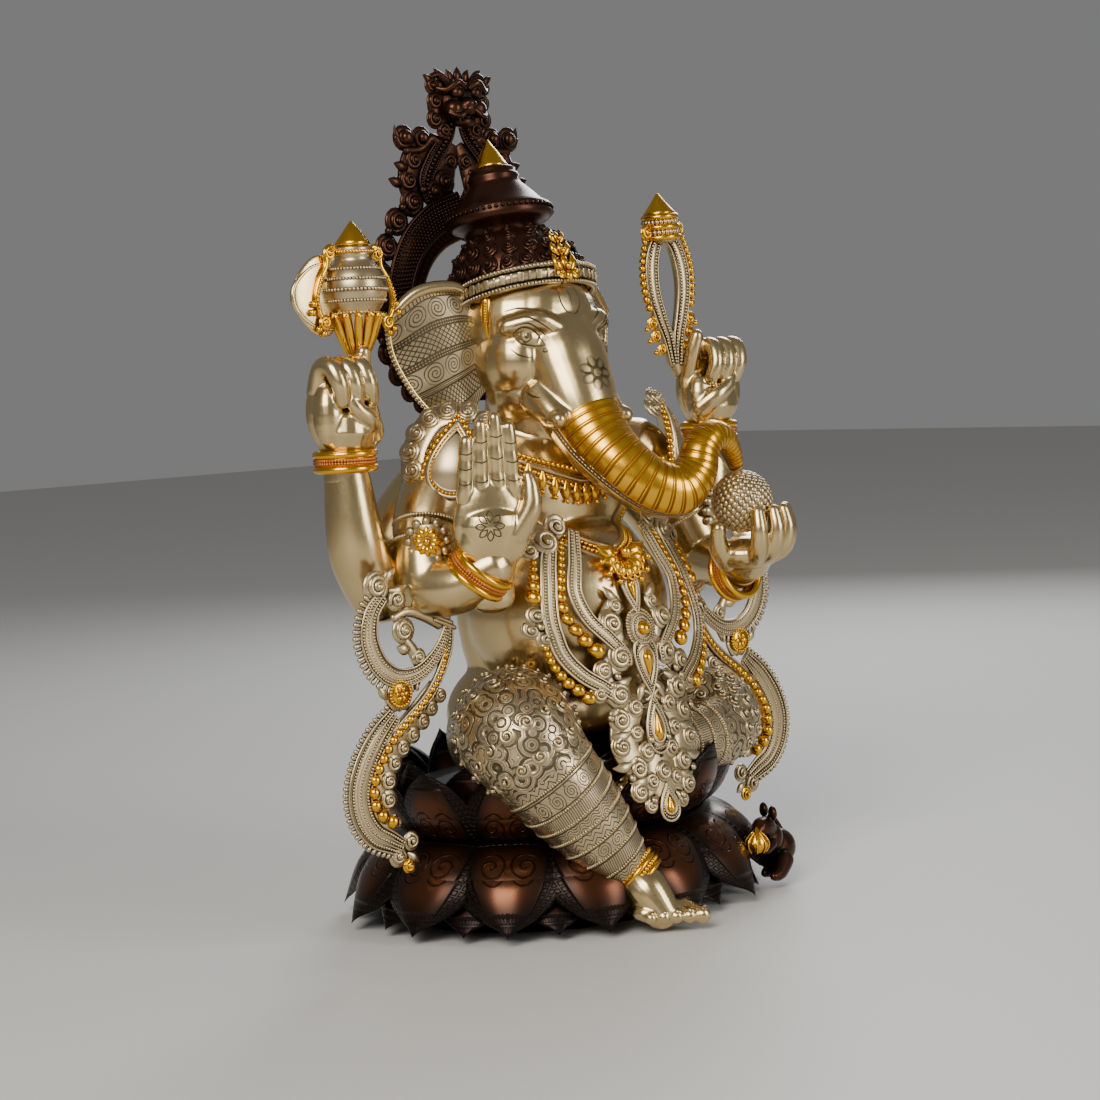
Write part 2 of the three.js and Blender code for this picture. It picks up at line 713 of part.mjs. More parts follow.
// ---------------------------------------------------------------- scarf scrolls at the sides
pair("scarf", ANTIQUE, [
  limb([
    [-SCARF_X + 44, -14, DECK + 118, 6],
    [-SCARF_X + 34, -22, DECK + 98, 7],
    [-SCARF_X + 6, SCARF_Y, DECK + 72, 9],
    [-SCARF_X - 22, SCARF_Y, DECK + 44, 10],
    [-SCARF_X - 36, SCARF_Y, DECK + 14, 10.5],
    [-SCARF_X - 24, SCARF_Y, DECK - 16, 9.5],
    [-SCARF_X + 2, SCARF_Y, DECK - 32, 7],
  ], { sides: 6, steps: 9, flat: 0.8 }),
  limb([
    [-SCARF_X + 4, SCARF_Y + 4, DECK + 134, 6],
    [-SCARF_X - 14, SCARF_Y + 2, DECK + 124, 8],
    [-SCARF_X - 25, SCARF_Y, DECK + 98, 9],
    [-SCARF_X - 8, SCARF_Y, DECK + 76, 9],
  ], { sides: 6, steps: 5, flat: 0.8 }),
]);

// ---------------------------------------------------------------- the mouse at the foot of the lotus
piece("mouse", BRONZE, [
  limb([
    [MOUSE_X + 11, -66, 14, 12],
    [MOUSE_X, -78, 20, 14],
    [MOUSE_X - 12, -85, 31, 9],
    [MOUSE_X - 20, -91, 35, 4],
  ], { sides: 8, steps: 6 }),
]);
piece("mouse_sweet", GILT, [
  turned([MOUSE_X - 25, -101, 20], [
    [0, 0],
    [7, 2],
    [8, 7],
    [3, 13],
    [0, 16],
  ], [0, 0, 0], 12),
]);

// ---------------------------------------------------------------- bolts up through the deck into the torso
for (const [k, [x, y]] of [[-40, -12], [40, -12], [0, 32]].entries())
  piece("body_bolt_" + (k + 1), STEEL, [rod([x, y, DECK - WALL - GAP - 3], BOLT_R + 3, 6, [0, 0, 0], 6)]);

// The frame's origin is the middle of the object's box, on the surface that it stands on.
const bounds = new THREE.Box3().setFromObject(figure);
const middle = bounds.getCenter(new THREE.Vector3());
figure.position.set(-middle.x, -middle.y, -bounds.min.z);

export default figure;
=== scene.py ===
# %% [markdown]
# A cast brass Ganesha, 21 inches high, seated on a double lotus.
# The figure comes out of the foundry as many castings: body, head, hands, lotus tiers, halo, scarves and
# apron. They are filed, chased, brazed together, darkened with a patina and rubbed bright on the high spots.
# The frame holds each of those castings as a plain solid. This lesson models the surface that is seen.
# %% The frame
import bpy
import bmesh
import math
from mathutils import Matrix, Vector
from mathutils.bvhtree import BVHTree


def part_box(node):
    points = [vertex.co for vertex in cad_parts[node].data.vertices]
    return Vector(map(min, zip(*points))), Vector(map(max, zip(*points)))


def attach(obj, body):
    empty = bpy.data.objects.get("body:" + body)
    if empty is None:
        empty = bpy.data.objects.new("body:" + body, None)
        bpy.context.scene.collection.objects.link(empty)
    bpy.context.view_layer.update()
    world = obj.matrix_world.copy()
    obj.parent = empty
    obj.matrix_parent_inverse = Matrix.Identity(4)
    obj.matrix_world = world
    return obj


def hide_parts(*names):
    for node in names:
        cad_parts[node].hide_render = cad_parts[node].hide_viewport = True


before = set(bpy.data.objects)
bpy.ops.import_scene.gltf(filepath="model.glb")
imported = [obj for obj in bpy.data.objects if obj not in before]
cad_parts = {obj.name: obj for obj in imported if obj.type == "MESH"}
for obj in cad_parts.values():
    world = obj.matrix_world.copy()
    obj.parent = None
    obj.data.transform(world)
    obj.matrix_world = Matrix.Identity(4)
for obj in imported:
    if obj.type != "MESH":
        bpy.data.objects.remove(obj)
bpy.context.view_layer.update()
print("nodes", len(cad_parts))

# %% [markdown]
# All sizes below are millimetres in a layout whose zero is the middle of the lotus, on the table.
# The frame measures in metres from the middle of the whole object's box, so one shift joins the two.
# %% Layout
MM = 0.001
low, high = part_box("lotus_plinth")
SHIFT = Vector(((low.x + high.x) / 2, (low.y + high.y) / 2, 0))
TO_FRAME = Matrix.Translation(SHIFT) @ Matrix.Scale(MM, 4)
TAU = 2 * math.pi


def middle(node):
    """The middle of a casting in layout millimetres."""
    a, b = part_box(node)
    return ((a + b) / 2 - SHIFT) / MM


DECK = (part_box("torso")[0].z / MM) - 0.35
print("deck", round(DECK, 1), "ball", [round(v) for v in middle("sweet_ball")])

# %% [markdown]
# Camera: the idol is seen from a little above, forty degrees round to its right-hand side, with the
# picture tipped three degrees. The lens is a long one, so the figure keeps straight sides.
# %% Camera
VIEW_ROUND, VIEW_UP, VIEW_TIP = math.radians(-40), math.radians(4.5), math.radians(3.0)
across = Vector((math.cos(VIEW_ROUND), math.sin(VIEW_ROUND), 0))
back = Vector((math.sin(VIEW_ROUND) * math.cos(VIEW_UP), -math.cos(VIEW_ROUND) * math.cos(VIEW_UP),
               math.sin(VIEW_UP)))
upward = back.cross(across)
cam_right = math.cos(VIEW_TIP) * across - math.sin(VIEW_TIP) * upward
cam_up = math.sin(VIEW_TIP) * across + math.cos(VIEW_TIP) * upward
aim = across * 0.004 + Vector((0, 0, 0.224)) + SHIFT
camera = bpy.data.objects.new("camera", bpy.data.cameras.new("camera"))
bpy.context.scene.collection.objects.link(camera)
camera.matrix_world = Matrix((
    (cam_right.x, cam_up.x, back.x, 0), (cam_right.y, cam_up.y, back.y, 0),
    (cam_right.z, cam_up.z, back.z, 0), (0, 0, 0, 1)))
camera.matrix_world.translation = aim + back * 1.59
camera.data.sensor_width = 36
camera.data.lens = 36 * 2500 / 1100
bpy.context.scene.camera = camera

# %% [markdown]
# Shader maths is written as Python: a Wire wraps a socket, and + - * / on Wires add Math nodes.
# Every other node comes from one call that takes its type, its settings and its sockets.
# %% Shader workshop
class Wire:
    def __init__(self, shop, socket):
        self.shop = shop
        self.socket = socket

    def math(self, operation, *rest):
        inputs = dict(enumerate((self,) + rest))
        return self.shop.node("ShaderNodeMath", {"operation": operation}, inputs)

    def flipped(self, operation, other):
        return self.shop.node("ShaderNodeMath", {"operation": operation}, {0: other, 1: self})

    def __add__(self, other):
        return self.math("ADD", other)

    def __radd__(self, other):
        return self.math("ADD", other)

    def __sub__(self, other):
        return self.math("SUBTRACT", other)

    def __rsub__(self, other):
        return self.flipped("SUBTRACT", other)

    def __mul__(self, other):
        return self.math("MULTIPLY", other)

    def __rmul__(self, other):
        return self.math("MULTIPLY", other)

    def __truediv__(self, other):
        return self.math("DIVIDE", other)

    def fold(self):
        """Distance to the nearest whole number, 0 to 0.5."""
        return self.math("PINGPONG", 0.5)

    def clamp(self):
        return self.shop.node("ShaderNodeClamp", {}, {0: self})

    def step(self, low, high):
        """A soft edge: 0 below low and 1 above high."""
        settings = {"interpolation_type": "SMOOTHSTEP"}
        return self.shop.node("ShaderNodeMapRange", settings, {0: self, 1: low, 2: high})


class Shop:
    def __init__(self, name):
        self.material = bpy.data.materials.new(name)
        self.material.use_nodes = True
        self.tree = self.material.node_tree
        self.tree.nodes.clear()
        self.shader = self.tree.nodes.new("ShaderNodeBsdfPrincipled")
        output = self.tree.nodes.new("ShaderNodeOutputMaterial")
        self.tree.links.new(self.shader.outputs[0], output.inputs[0])

    def plug(self, socket, value):
        if isinstance(value, Wire):
            self.tree.links.new(value.socket, socket)
        else:
            socket.default_value = value

    def node(self, kind, settings, inputs, output=0):
        made = self.tree.nodes.new(kind)
        for key, value in settings.items():
            setattr(made, key, value)
        for key, value in inputs.items():
            self.plug(made.inputs[key], value)
        return Wire(self, made.outputs[output])

    def place(self):
        """Object coordinates in millimetres."""
        here = self.node("ShaderNodeTexCoord", {}, {}, "Object")
        return self.node("ShaderNodeVectorMath", {"operation": "SCALE"}, {0: here, "Scale": 1 / MM})

    def split(self, vector):
        return [self.node("ShaderNodeSeparateXYZ", {}, {0: vector}, k) for k in range(3)]

    def attribute(self, name):
        return self.node("ShaderNodeAttribute", {"attribute_name": name}, {}, "Fac")

    def noise(self, vector, scale, detail=3.0):
        inputs = {"Vector": vector, "Scale": scale, "Detail": detail}
        return self.node("ShaderNodeTexNoise", {}, inputs)

    def cells(self, vector, scale, feature="F1"):
        settings = {"feature": feature}
        return self.node("ShaderNodeTexVoronoi", settings, {"Vector": vector, "Scale": scale})

    def mix(self, factor, a, b):
        return self.node("ShaderNodeMix", {"data_type": "RGBA"}, {0: factor, 6: a, 7: b}, 2)

    def open_sky(self, reach_mm):
        """1 on open metal, falling to 0 inside crevices up to that deep."""
        settings = {"samples": 12, "only_local": True}
        return self.node("ShaderNodeAmbientOcclusion", settings, {"Distance": reach_mm * MM}, "AO")

    def bump(self, height, depth_mm):
        inputs = {"Height": height, "Distance": depth_mm * MM, "Strength": 1.0}
        return self.node("ShaderNodeBump", {}, inputs)

    def finish(self, **sockets):
        for key, value in sockets.items():
            self.plug(self.shader.inputs[key.replace("_", " ")], value)
        return self.material


def rgb(r, g, b):
    return (r, g, b, 1.0)


# %% [markdown]
# Every metal finish is the same story told with other colours. Open faces are rubbed bright, the dark
# patina stays where a cloth can't reach, and the two are mixed by how much sky the surface sees. So the
# dark colour is partly patina and partly painted shade: it also darkens corners, undersides and the
# places between parts, where shade falls. A pattern is a height from 0 to 1: its low lines hold the
# patina too, and a Bump node carves them.
# %% Metal finishes
PALE_BRASS = rgb(0.66, 0.50, 0.25)
# The next colour is painted shade: the polished brass darkens to it in corners and between parts.
SHADED_BRASS = rgb(0.17, 0.115, 0.055)
SOOT = rgb(0.035, 0.026, 0.016)
GOLD = rgb(0.86, 0.47, 0.035)
GOLD_SHADE = rgb(0.22, 0.065, 0.006)
BRONZE = rgb(0.008, 0.006, 0.005)
BRONZE_RUBBED = rgb(0.060, 0.022, 0.010)
PETAL_BROWN = rgb(0.09, 0.031, 0.012)


def metal(name, bright, dark, pattern=None, cut_mm=0.5, roughness=0.3, reach_mm=4.0, rub_and_shade=(0.35, 0.8),
          metallic=1.0):
    """bright on open faces and dark in hollows; pattern(shop) gives the height of the chased lines."""
    shop = Shop(name)
    place = shop.place()
    patches = shop.noise(place, 0.035, 3.0)
    grain = shop.noise(place, 0.5, 3.0)
    # Patina and painted shade: the sky test darkens crevices, and also corners and the places between parts.
    rubbed_and_unshaded = shop.open_sky(reach_mm).step(*rub_and_shade)
    height = grain * 0.03
    if pattern:
        carved = pattern(shop)
        rubbed_and_unshaded = rubbed_and_unshaded * (carved * 0.85 + 0.15)
        height = carved + grain * 0.05
    tone = rubbed_and_unshaded * (patches * 0.5 + 0.68)
    colour = shop.mix(tone.clamp(), dark, bright)
    rough = roughness + (1 - rubbed_and_unshaded) * 0.25 + (grain - 0.5) * 0.10
    normal = shop.bump(height, cut_mm)
    return shop.finish(Base_Color=colour, Metallic=metallic, Roughness=rough.clamp(), Normal=normal)


# The polished brass holds little patina, so its darkening in corners and between parts is painted shade.
satin_brass = metal("satin_brass", PALE_BRASS, SHADED_BRASS, cut_mm=0.2, roughness=0.25, reach_mm=5,
                    rub_and_shade=(0.1, 0.62))
chased_brass = metal("chased_brass", rgb(0.58, 0.46, 0.27), SOOT, cut_mm=0.3, roughness=0.33,
                     reach_mm=3.5, rub_and_shade=(0.35, 0.85))
gold_lacquer = metal("gold_lacquer", GOLD, GOLD_SHADE, cut_mm=0.25, roughness=0.24, reach_mm=3.5)
# Over a 14 mm reach the bronze darkens under and between its curls: patina, and painted shade too.
dark_bronze = metal("dark_bronze", BRONZE_RUBBED, BRONZE, cut_mm=0.3, roughness=0.3, reach_mm=14,
                    rub_and_shade=(0.55, 1.0), metallic=0.85)
steel = metal("steel", rgb(0.5, 0.5, 0.5), rgb(0.2, 0.2, 0.2), cut_mm=0.2)
print("finishes", len(bpy.data.materials))

# %% [markdown]
# Pieces are drawn with a few tools. A grid laid along a curve makes a strand or a limb; the place of
# each grid corner along and around it is kept as a UV, in millimetres along, so patterns can follow.
# Closed shapes that must melt into one another, like the parts of a body, are remeshed and smoothed.
# %% Modelling tools
def smooth_path(points, count):
    """A Catmull-Rom curve through points of any number of values, as count + 1 Vectors."""
    pts = [Vector(p) for p in points]
    spans = len(pts) - 1
    out = []
    for i in range(count + 1):
        t = min(i * spans / count, spans - 1e-6)
        k = int(t)
        f = t - k
        a, b, c, d = (pts[min(max(k + j, 0), len(pts) - 1)] for j in (-1, 0, 1, 2))
        out.append(0.5 * (2 * b + (c - a) * f + (2 * a - 5 * b + 4 * c - d) * f * f
                          + (3 * b - a - 3 * c + d) * f ** 3))
    return out


def frames_along(path, facing=None):
    """Tangent, side and normal at each point; the normal keeps to `facing` where it is given."""
    frames = []
    normal = facing
    for i, p in enumerate(path):
        tangent = (path[min(i + 1, len(path) - 1)] - path[max(i - 1, 0)]).normalized()
        if normal is None:
            normal = Vector((0, 1, 0)) if abs(tangent.y) < 0.9 else Vector((1, 0, 0))
        flat = (facing or normal)
        flat = (flat - tangent * flat.dot(tangent)).normalized()
        normal = flat
        frames.append((tangent, tangent.cross(flat), flat))
    return frames


def sweep(bm, stations, sides=16, count=24, facing=None, flat=1.0, round_ends=True):
    """A closed strand through (x, y, z, radius) stations. flat thins it along the facing direction."""
    line = smooth_path(stations, count)
    path = [Vector(p[:3]) for p in line]
    radii = [max(p[3], 0.05) for p in line]
    frames = frames_along(path, facing)
    rows = [(path[i], radii[i], frames[i]) for i in range(count + 1)]
    if round_ends:
        for end, sign in ((0, -1), (count, 1)):
            p, r, f = path[end], radii[end], frames[end]
            caps = [(p + f[0] * sign * r * flat * math.sin(a), r * math.cos(a), f)
                    for a in (0.5, 1.0, 1.35, 1.5707)]
            rows = caps[::-1] + rows if sign < 0 else rows + caps
    else:
        rows = [(path[0], 0.0, frames[0])] + rows + [(path[-1], 0.0, frames[-1])]
    length = sum((path[i + 1] - path[i]).length for i in range(count))
    strand = bmesh.new()
    uv = strand.loops.layers.uv.verify()
    bmesh.ops.create_grid(strand, x_segments=len(rows) - 1, y_segments=sides, size=1.0, calc_uvs=True)
    for v in strand.verts:
        row = round((v.co.x + 1) / 2 * (len(rows) - 1))
        turn = (v.co.y + 1) / 2
        p, r, (_, side, up) = rows[row]
        v.co = p + side * r * math.cos(TAU * turn) + up * r * flat * math.sin(TAU * turn)
    for face in strand.faces:
        for loop in face.loops:
            loop[uv].uv.x *= length
    bmesh.ops.remove_doubles(strand, verts=strand.verts, dist=0.002)
    pour(bm, strand)


def orb(bm, at, radii, turn=None, sides=24):
    """A sphere stretched to three radii; turn is (axis, degrees)."""
    size = Matrix.Diagonal((*radii, 1)) if isinstance(radii, (tuple, list)) else Matrix.Scale(radii, 4)
    spin = Matrix.Rotation(math.radians(turn[1]), 4, turn[0]) if turn else Matrix.Identity(4)
    m = Matrix.Translation(at) @ spin @ size
    return bmesh.ops.create_uvsphere(bm, u_segments=sides, v_segments=sides // 2, radius=1, matrix=m,
                                     calc_uvs=True)["verts"]


def bead(bm, at, radius):
    around, up = (6, 5) if radius < 1.35 else (10, 7)
    m = Matrix.Translation(at) @ Matrix.Scale(radius, 4)
    bmesh.ops.create_uvsphere(bm, u_segments=around, v_segments=up, radius=1, matrix=m)


def tidy(bm):
    bmesh.ops.remove_doubles(bm, verts=bm.verts, dist=0.003)
    loose = [v for v in bm.verts if not v.link_faces]
    bmesh.ops.delete(bm, geom=loose, context="VERTS")
    bmesh.ops.recalc_face_normals(bm, faces=bm.faces)


def add_piece(name, bm, material, node=None, slot=None, melt=None, smooth=2):
    """Makes an object of a bmesh drawn in millimetres. melt is the voxel size that joins its shapes into
    one skin, smooth the passes of smoothing after that."""
    tidy(bm)
    bm.transform(TO_FRAME)
    mesh = bpy.data.meshes.new(name)
    bm.to_mesh(mesh)
    bm.free()
    piece = bpy.data.objects.new(name, mesh)
    bpy.context.scene.collection.objects.link(piece)
    if melt:
        remesh = piece.modifiers.new("melt", "REMESH")
        remesh.mode = "VOXEL"
        remesh.voxel_size = melt * MM
        relax = piece.modifiers.new("relax", "SMOOTH")
        relax.iterations = smooth
        relax.factor = 0.5
    if piece.modifiers:
        shape = piece.evaluated_get(bpy.context.evaluated_depsgraph_get())
        piece.data = bpy.data.meshes.new_from_object(shape)
        piece.modifiers.clear()
    piece.data.materials.clear()
    piece.data.materials.append(material)
    for face in piece.data.polygons:
        face.use_smooth = True
    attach(piece, "root")
    if node:
        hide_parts(*([node] if isinstance(node, str) else node))
    slot or material.name.split(".")[0]
    print(name, len(piece.data.polygons), "faces")
    return piece


def mirror_x(bm):
    """Adds the other side: the same shapes, mirrored in the middle plane."""
    geom = bm.verts[:] + bm.edges[:] + bm.faces[:]
    copy = bmesh.ops.duplicate(bm, geom=geom)["geom"]
    verts = [g for g in copy if isinstance(g, bmesh.types.BMVert)]
    bmesh.ops.scale(bm, vec=(-1, 1, 1), verts=verts)
    faces = [g for g in copy if isinstance(g, bmesh.types.BMFace)]
    bmesh.ops.reverse_faces(bm, faces=faces)


def mirrored(stations):
    return [(-s[0], *s[1:]) for s in stations]


def skin_of(*pieces):
    """A search tree of finished pieces, in layout millimetres, for laying work on their surface."""
    bm = bmesh.new()
    for piece in pieces:
        bm.from_mesh(piece.data)
    bm.transform(TO_FRAME.inverted())
    tree = BVHTree.FromBMesh(bm)
    bm.free()
    return tree


def cast_on(tree, points, direction, lift=0.0):
    """Each point pushed along a direction until it meets the skin."""
    way = Vector(direction).normalized()
    out = []
    for p in points:
        start = Vector(p[:3]) - way * 200
        spot, normal, _, _ = tree.ray_cast(start, way)
        if spot is None:
            spot, normal, _, _ = tree.find_nearest(Vector(p[:3]))
        out.append((*(spot + normal * lift), *p[3:]))
    return out


def pour(bm, shape, matrix=None):
    """Adds one bmesh to another, moved by a matrix, and frees it."""
    if matrix:
        shape.transform(matrix)
        if matrix.determinant() < 0:
            bmesh.ops.reverse_faces(shape, faces=shape.faces)
    mesh = bpy.data.meshes.new("pour")
    shape.to_mesh(mesh)
    bm.from_mesh(mesh)
    bpy.data.meshes.remove(mesh)
    shape.free()


def stand(at, towards=(0, 0, 1), spin=0.0):
    """A matrix that puts a shape's own foot at `at`, with its Z turned to point `towards`."""
    aimed = Vector((0, 0, 1)).rotation_difference(Vector(towards).normalized()).to_matrix().to_4x4()
    return Matrix.Translation(at) @ aimed @ Matrix.Rotation(math.radians(spin), 4, "Z")


def turned(bm, matrix, profile, steps=32):
    """A shape turned on a lathe from a list of (radius, height)."""
    shape = bmesh.new()
    verts = [shape.verts.new((r, 0, z)) for r, z in profile]
    edges = [shape.edges.new(pair) for pair in zip(verts, verts[1:])]
    bmesh.ops.spin(shape, geom=verts + edges, cent=(0, 0, 0), axis=(0, 0, 1), dvec=(0, 0, 0), angle=TAU,
                   steps=steps, use_merge=True)
    tidy(shape)
    pour(bm, shape, matrix)


def mark_along(piece, stations, count=60):
    """Keeps, at each corner of a melted limb, how far along and how far round its line it lies, in mm."""
    path = [Vector(p[:3]) for p in smooth_path(stations, count)]
    frames = frames_along(path, Vector((0.2, -0.7, 0.68)).normalized())
    reach = [0.0]
    for a, b in zip(path, path[1:]):
        reach.append(reach[-1] + (b - a).length)
    along = piece.data.attributes.new("along", "FLOAT", "POINT")
    around = piece.data.attributes.new("around", "FLOAT", "POINT")
    for i, v in enumerate(piece.data.vertices):
        here = (v.co - SHIFT) / MM
        near = min(range(len(path)), key=lambda k: (path[k] - here).length_squared)
        tangent, side, up = frames[near]
        off = here - path[near]
        along.data[i].value = reach[near] + off.dot(tangent)
        around.data[i].value = math.atan2(off.dot(side), off.dot(up)) * max(off.length, 1)


# %% [markdown]
# Chased patterns are heights from 0, the bottom of a line, to 1, the open metal. They read two lengths
# in millimetres, u along the piece and v across it.
# %% Chased patterns
def grooves(value, pitch, width=0.12):
    """Lines across `value`, one every pitch."""
    return (value / pitch).fold().step(width * 0.5, width)


def zigzags(u, v, pitch, tall, width=0.14):
    return grooves(u - (v / pitch).fold() * 2 * tall, tall, width)


def scrolls(shop, u, v, pitch, turns=3.2, width=0.15):
    """A row of spirals, one in each square cell."""
    x = (u / pitch).math("FRACT") - 0.5
    y = (v / pitch).math("FRACT") - 0.5
    far = (x * x + y * y).math("SQRT")
    angle = y.math("ARCTAN2", x) / TAU
    spiral = (far * turns * 2 - angle).fold().step(width * 0.5, width * 1.3)
    return spiral.math("MAXIMUM", far.step(0.46, 0.5))


def dots(shop, u, v, pitch, size=0.34):
    """Raised round grains on a dark ground."""
    x = (u / pitch).fold()
    y = (v / pitch).fold()
    far = ((0.5 - x) * (0.5 - x) + (0.5 - y) * (0.5 - y)).math("SQRT")
    return 1 - far.step(size * 0.7, size)


def pick(shop, bands, k, height, other):
    """`height` where the whole-numbered band is k, else `other`."""
    here = 1 - (bands - k).math("ABSOLUTE").step(0.4, 0.6)
    return height * here + other * (1 - here)


def cloth_bands(shop):
    """The leg cloth: rings of scrolls, zigzags, hatching and waves, with ruled borders between them."""
    u, v = shop.attribute("along"), shop.attribute("around")
    tall = 11.0
    inside = (u / tall).math("FRACT")
    bands = (u / tall).math("FLOOR").math("FLOORED_MODULO", 4.0)
    wave = grooves(u - (v / 9.0 * TAU).math("SINE") * 1.6, 2.2, 0.2)
    height = pick(shop, bands, 1, zigzags(u, v, 7.0, 3.4), wave)
    height = pick(shop, bands, 2, scrolls(shop, u, v, tall), height)
    height = pick(shop, bands, 3, grooves(v, 1.5, 0.2), height)
    border = (inside.fold() * tall - 0.9).math("ABSOLUTE").step(0.2, 0.55)
    return height * border


print("patterns ready")

# %% [markdown]
# The trunk body is hollow cast in one: a great round belly under a broad chest. Four stretched spheres
# and two short limbs are melted into one skin, because a real belly has no seam to hide.
# %% Torso
body_bm = bmesh.new()
orb(body_bm, (0, -20, DECK + 106), (67, 60, 60), sides=40)
orb(body_bm, (0, 0, DECK + 178), (62, 43, 50), sides=40)
orb(body_bm, (0, 4, DECK + 42), (72, 52, 42), sides=40)
orb(body_bm, (0, 8, DECK + 112), (58, 44, 92), sides=40)
sweep(body_bm, [(-76, 5, DECK + 196, 23), (0, 3, DECK + 200, 26), (76, 5, DECK + 196, 23)], sides=24)
sweep(body_bm, [(0, 4, DECK + 200, 37), (0, -2, DECK + 236, 33)], sides=24, count=6)
torso = add_piece("torso_skin", body_bm, satin_brass, "torso", melt=1.8, smooth=14)

# %% [markdown]
# The four arms are plain tapered limbs. Each elbow is two limbs that meet, melted together.
# %% Arms
def arm(name, node, upper, fore):
    bm = bmesh.new()
    sweep(bm, upper, sides=28)
    sweep(bm, fore, sides=28)
    return add_piece(name, bm, satin_brass, node, melt=1.2, smooth=10)


back_upper = [(-66, 12, 280, 22), (-104, 13, 246, 20), (-127, 6, 211, 18.5)]
back_fore = [(-127, 6, 209, 18.5), (-144, 1, 238, 18), (-150, 0, 286, 13.5)]
front_upper = [(-76, -4, 281, 24), (-101, -12, 250, 21), (-112, -24, 216, 19)]
front_fore = [(-112, -24, 213, 19), (-104, -44, 214, 17.5), (-92, -60, 224, 14.5)]
ball_upper = [(76, -4, 281, 24), (103, -12, 248, 21), (114, -26, 212, 18)]
ball_fore = [(114, -26, 210, 18), (108, -50, 206, 16), (98, -76, 206, 13.5)]
arms = [
    arm("right_back_arm_skin", "right_back_arm", back_upper, back_fore),
    arm("left_back_arm_skin", "left_back_arm", mirrored(back_upper), mirrored(back_fore)),
    arm("right_front_arm_skin", "right_front_arm", front_upper, front_fore),
    arm("left_front_arm_skin", "left_front_arm", ball_upper, ball_fore),
]

# %% [markdown]
# Hands are cast apart and brazed on at the bangle. The raised right palm faces the worshipper. Its
# fingers are straight, with three short swellings each that read as the finger's bones.
# %% Open palm
def finger(bm, root, tip, width, thick=0.9, joints=True):
    """A straight finger that swells a little between its joints."""
    stations = []
    for k in range(13):
        f = k / 12
        swell = 1 - 0.09 * (1 - abs(math.sin(f * 3 * math.pi))) if joints else 1
        stations.append((*Vector(root).lerp(Vector(tip), f), width * swell * (1 - 0.2 * f)))
    sweep(bm, stations, sides=14, count=30, facing=Vector((0, 1, 0)), flat=thick)


palm_place = (stand((-92, -62, 220)) @ Matrix.Rotation(math.radians(-26), 4, "Z")
              @ Matrix.Rotation(math.radians(4), 4, "X"))
palm_bm = bmesh.new()
orb(palm_bm, (0, 0, 30), (23, 7.5, 27), sides=28)
orb(palm_bm, (-9, -2, 19), (11, 6.5, 18), sides=20)
orb(palm_bm, (13, -3, 22), (10, 7, 18), (Vector((0, 1, 0)), 18), sides=20)
sweep(palm_bm, [(0, 4, -16, 14), (0, 3, -6, 13.5), (0, 1.5, 6, 15), (0, 0.5, 18, 18), (0, 0, 30, 20)],
      sides=28,
      facing=Vector((0, 1, 0)), flat=0.62)
sweep(palm_bm, [(14, -3, 22, 8), (23, -5, 38, 7), (24, -4, 50, 5.6), (23, -3, 57, 4)], sides=16)
for root, length in ((-15.6, 30), (-5.4, 39), (4.8, 43), (14.6, 37)):
    finger(palm_bm, (root, 0, 46), (root * 0.86, -1, 50 + length), 5.3)
palm_bm.transform(palm_place)
palm = add_piece("open_palm", palm_bm, satin_brass, "right_front_hand", melt=0.75, smooth=9)

# %% [markdown]
# The upper hands hold what they carry between curled fingers. The hand is a rounded block; four fingers
# bend over its top edge and tuck into the palm, and the thumb crosses under them.
# %% Closed hands
def closed_hand(name, node, wrist, side):
    """side is -1 for the figure's own right hand and 1 for its left one."""
    x, y, z = wrist
    bm = bmesh.new()
    sweep(bm, [(x, y, z - 10, 13.5), (x, y, z + 6, 14.5), (x, y - 1, z + 20, 19)], sides=24)
    orb(bm, (x, y + 3, z + 32), (23, 13, 27), sides=28)
    orb(bm, (x - side * 12, y - 6, z + 24), (10, 9, 18), sides=20)
    orb(bm, (x + side * 13, y - 5, z + 30), (10, 9, 20), sides=20)
    for k in range(3):
        fx = x + side * (15.5 - 10.4 * k)
        sweep(bm, [(fx, y + 3, z + 44, 6.4), (fx, y - 3, z + 57, 6.2), (fx, y - 13, z + 58, 5.8),
                   (fx - side * 2, y - 18, z + 48, 5.4), (fx - side * 5, y - 16, z + 38, 4.6)], sides=14)
    fx = x - side * 15
    sweep(bm, [(fx, y + 2, z + 40, 7), (fx + side, y - 3, z + 56, 6),
               (fx + side * 2, y - 6, z + 66, 4.6)],
          sides=14)
    sweep(bm, [(x - side * 15, y - 8, z + 18, 7.5), (x - side * 8, y - 16, z + 26, 6.5),
               (x + side * 1, y - 18, z + 32, 5), (x + side * 5, y - 17, z + 38, 4)], sides=14)
    return add_piece(name, bm, satin_brass, node, melt=0.85, smooth=3)


right_hand = closed_hand("axe_hand", "right_back_hand", (-150, 0, 289), -1)
left_hand = closed_hand("noose_hand", "left_back_hand", (150, 0, 289), 1)

# %% [markdown]
# The fourth hand is a shallow cup under the sweet ball: a wide palm, with the fingers rising round it.
# %% Cupped hand
cup_bm = bmesh.new()
ball_at = middle("sweet_ball")
sweep(cup_bm, [(98, -68, 203, 12.5), (97, -78, 208, 13.5), (94, -88, 214, 16)], sides=24)
orb(cup_bm, (ball_at.x + 6, ball_at.y + 3, ball_at.z - 33), (22, 20, 11), sides=28)
for k in range(4):
    turn = math.radians(-118 + 27 * k)
    way = Vector((math.cos(turn), math.sin(turn), 0))
    root = ball_at + Vector((6, 3, -34)) + way * 14
    sweep(cup_bm, [(*root, 6.4), (*(root + way * 9 + Vector((0, 0, 5))), 6),
                   (*(root + way * 12.5 + Vector((0, 0, 17))), 5.3),
                   (*(root + way * 10.5 + Vector((0, 0, 28))), 4.2)], sides=14)
sweep(cup_bm, [(76, -88, 213, 7.5), (66, -92, 222, 6.4), (63, -95, 234, 5)], sides=14)
add_piece("cupped_hand", cup_bm, satin_brass, "left_front_hand", melt=0.8, smooth=3)

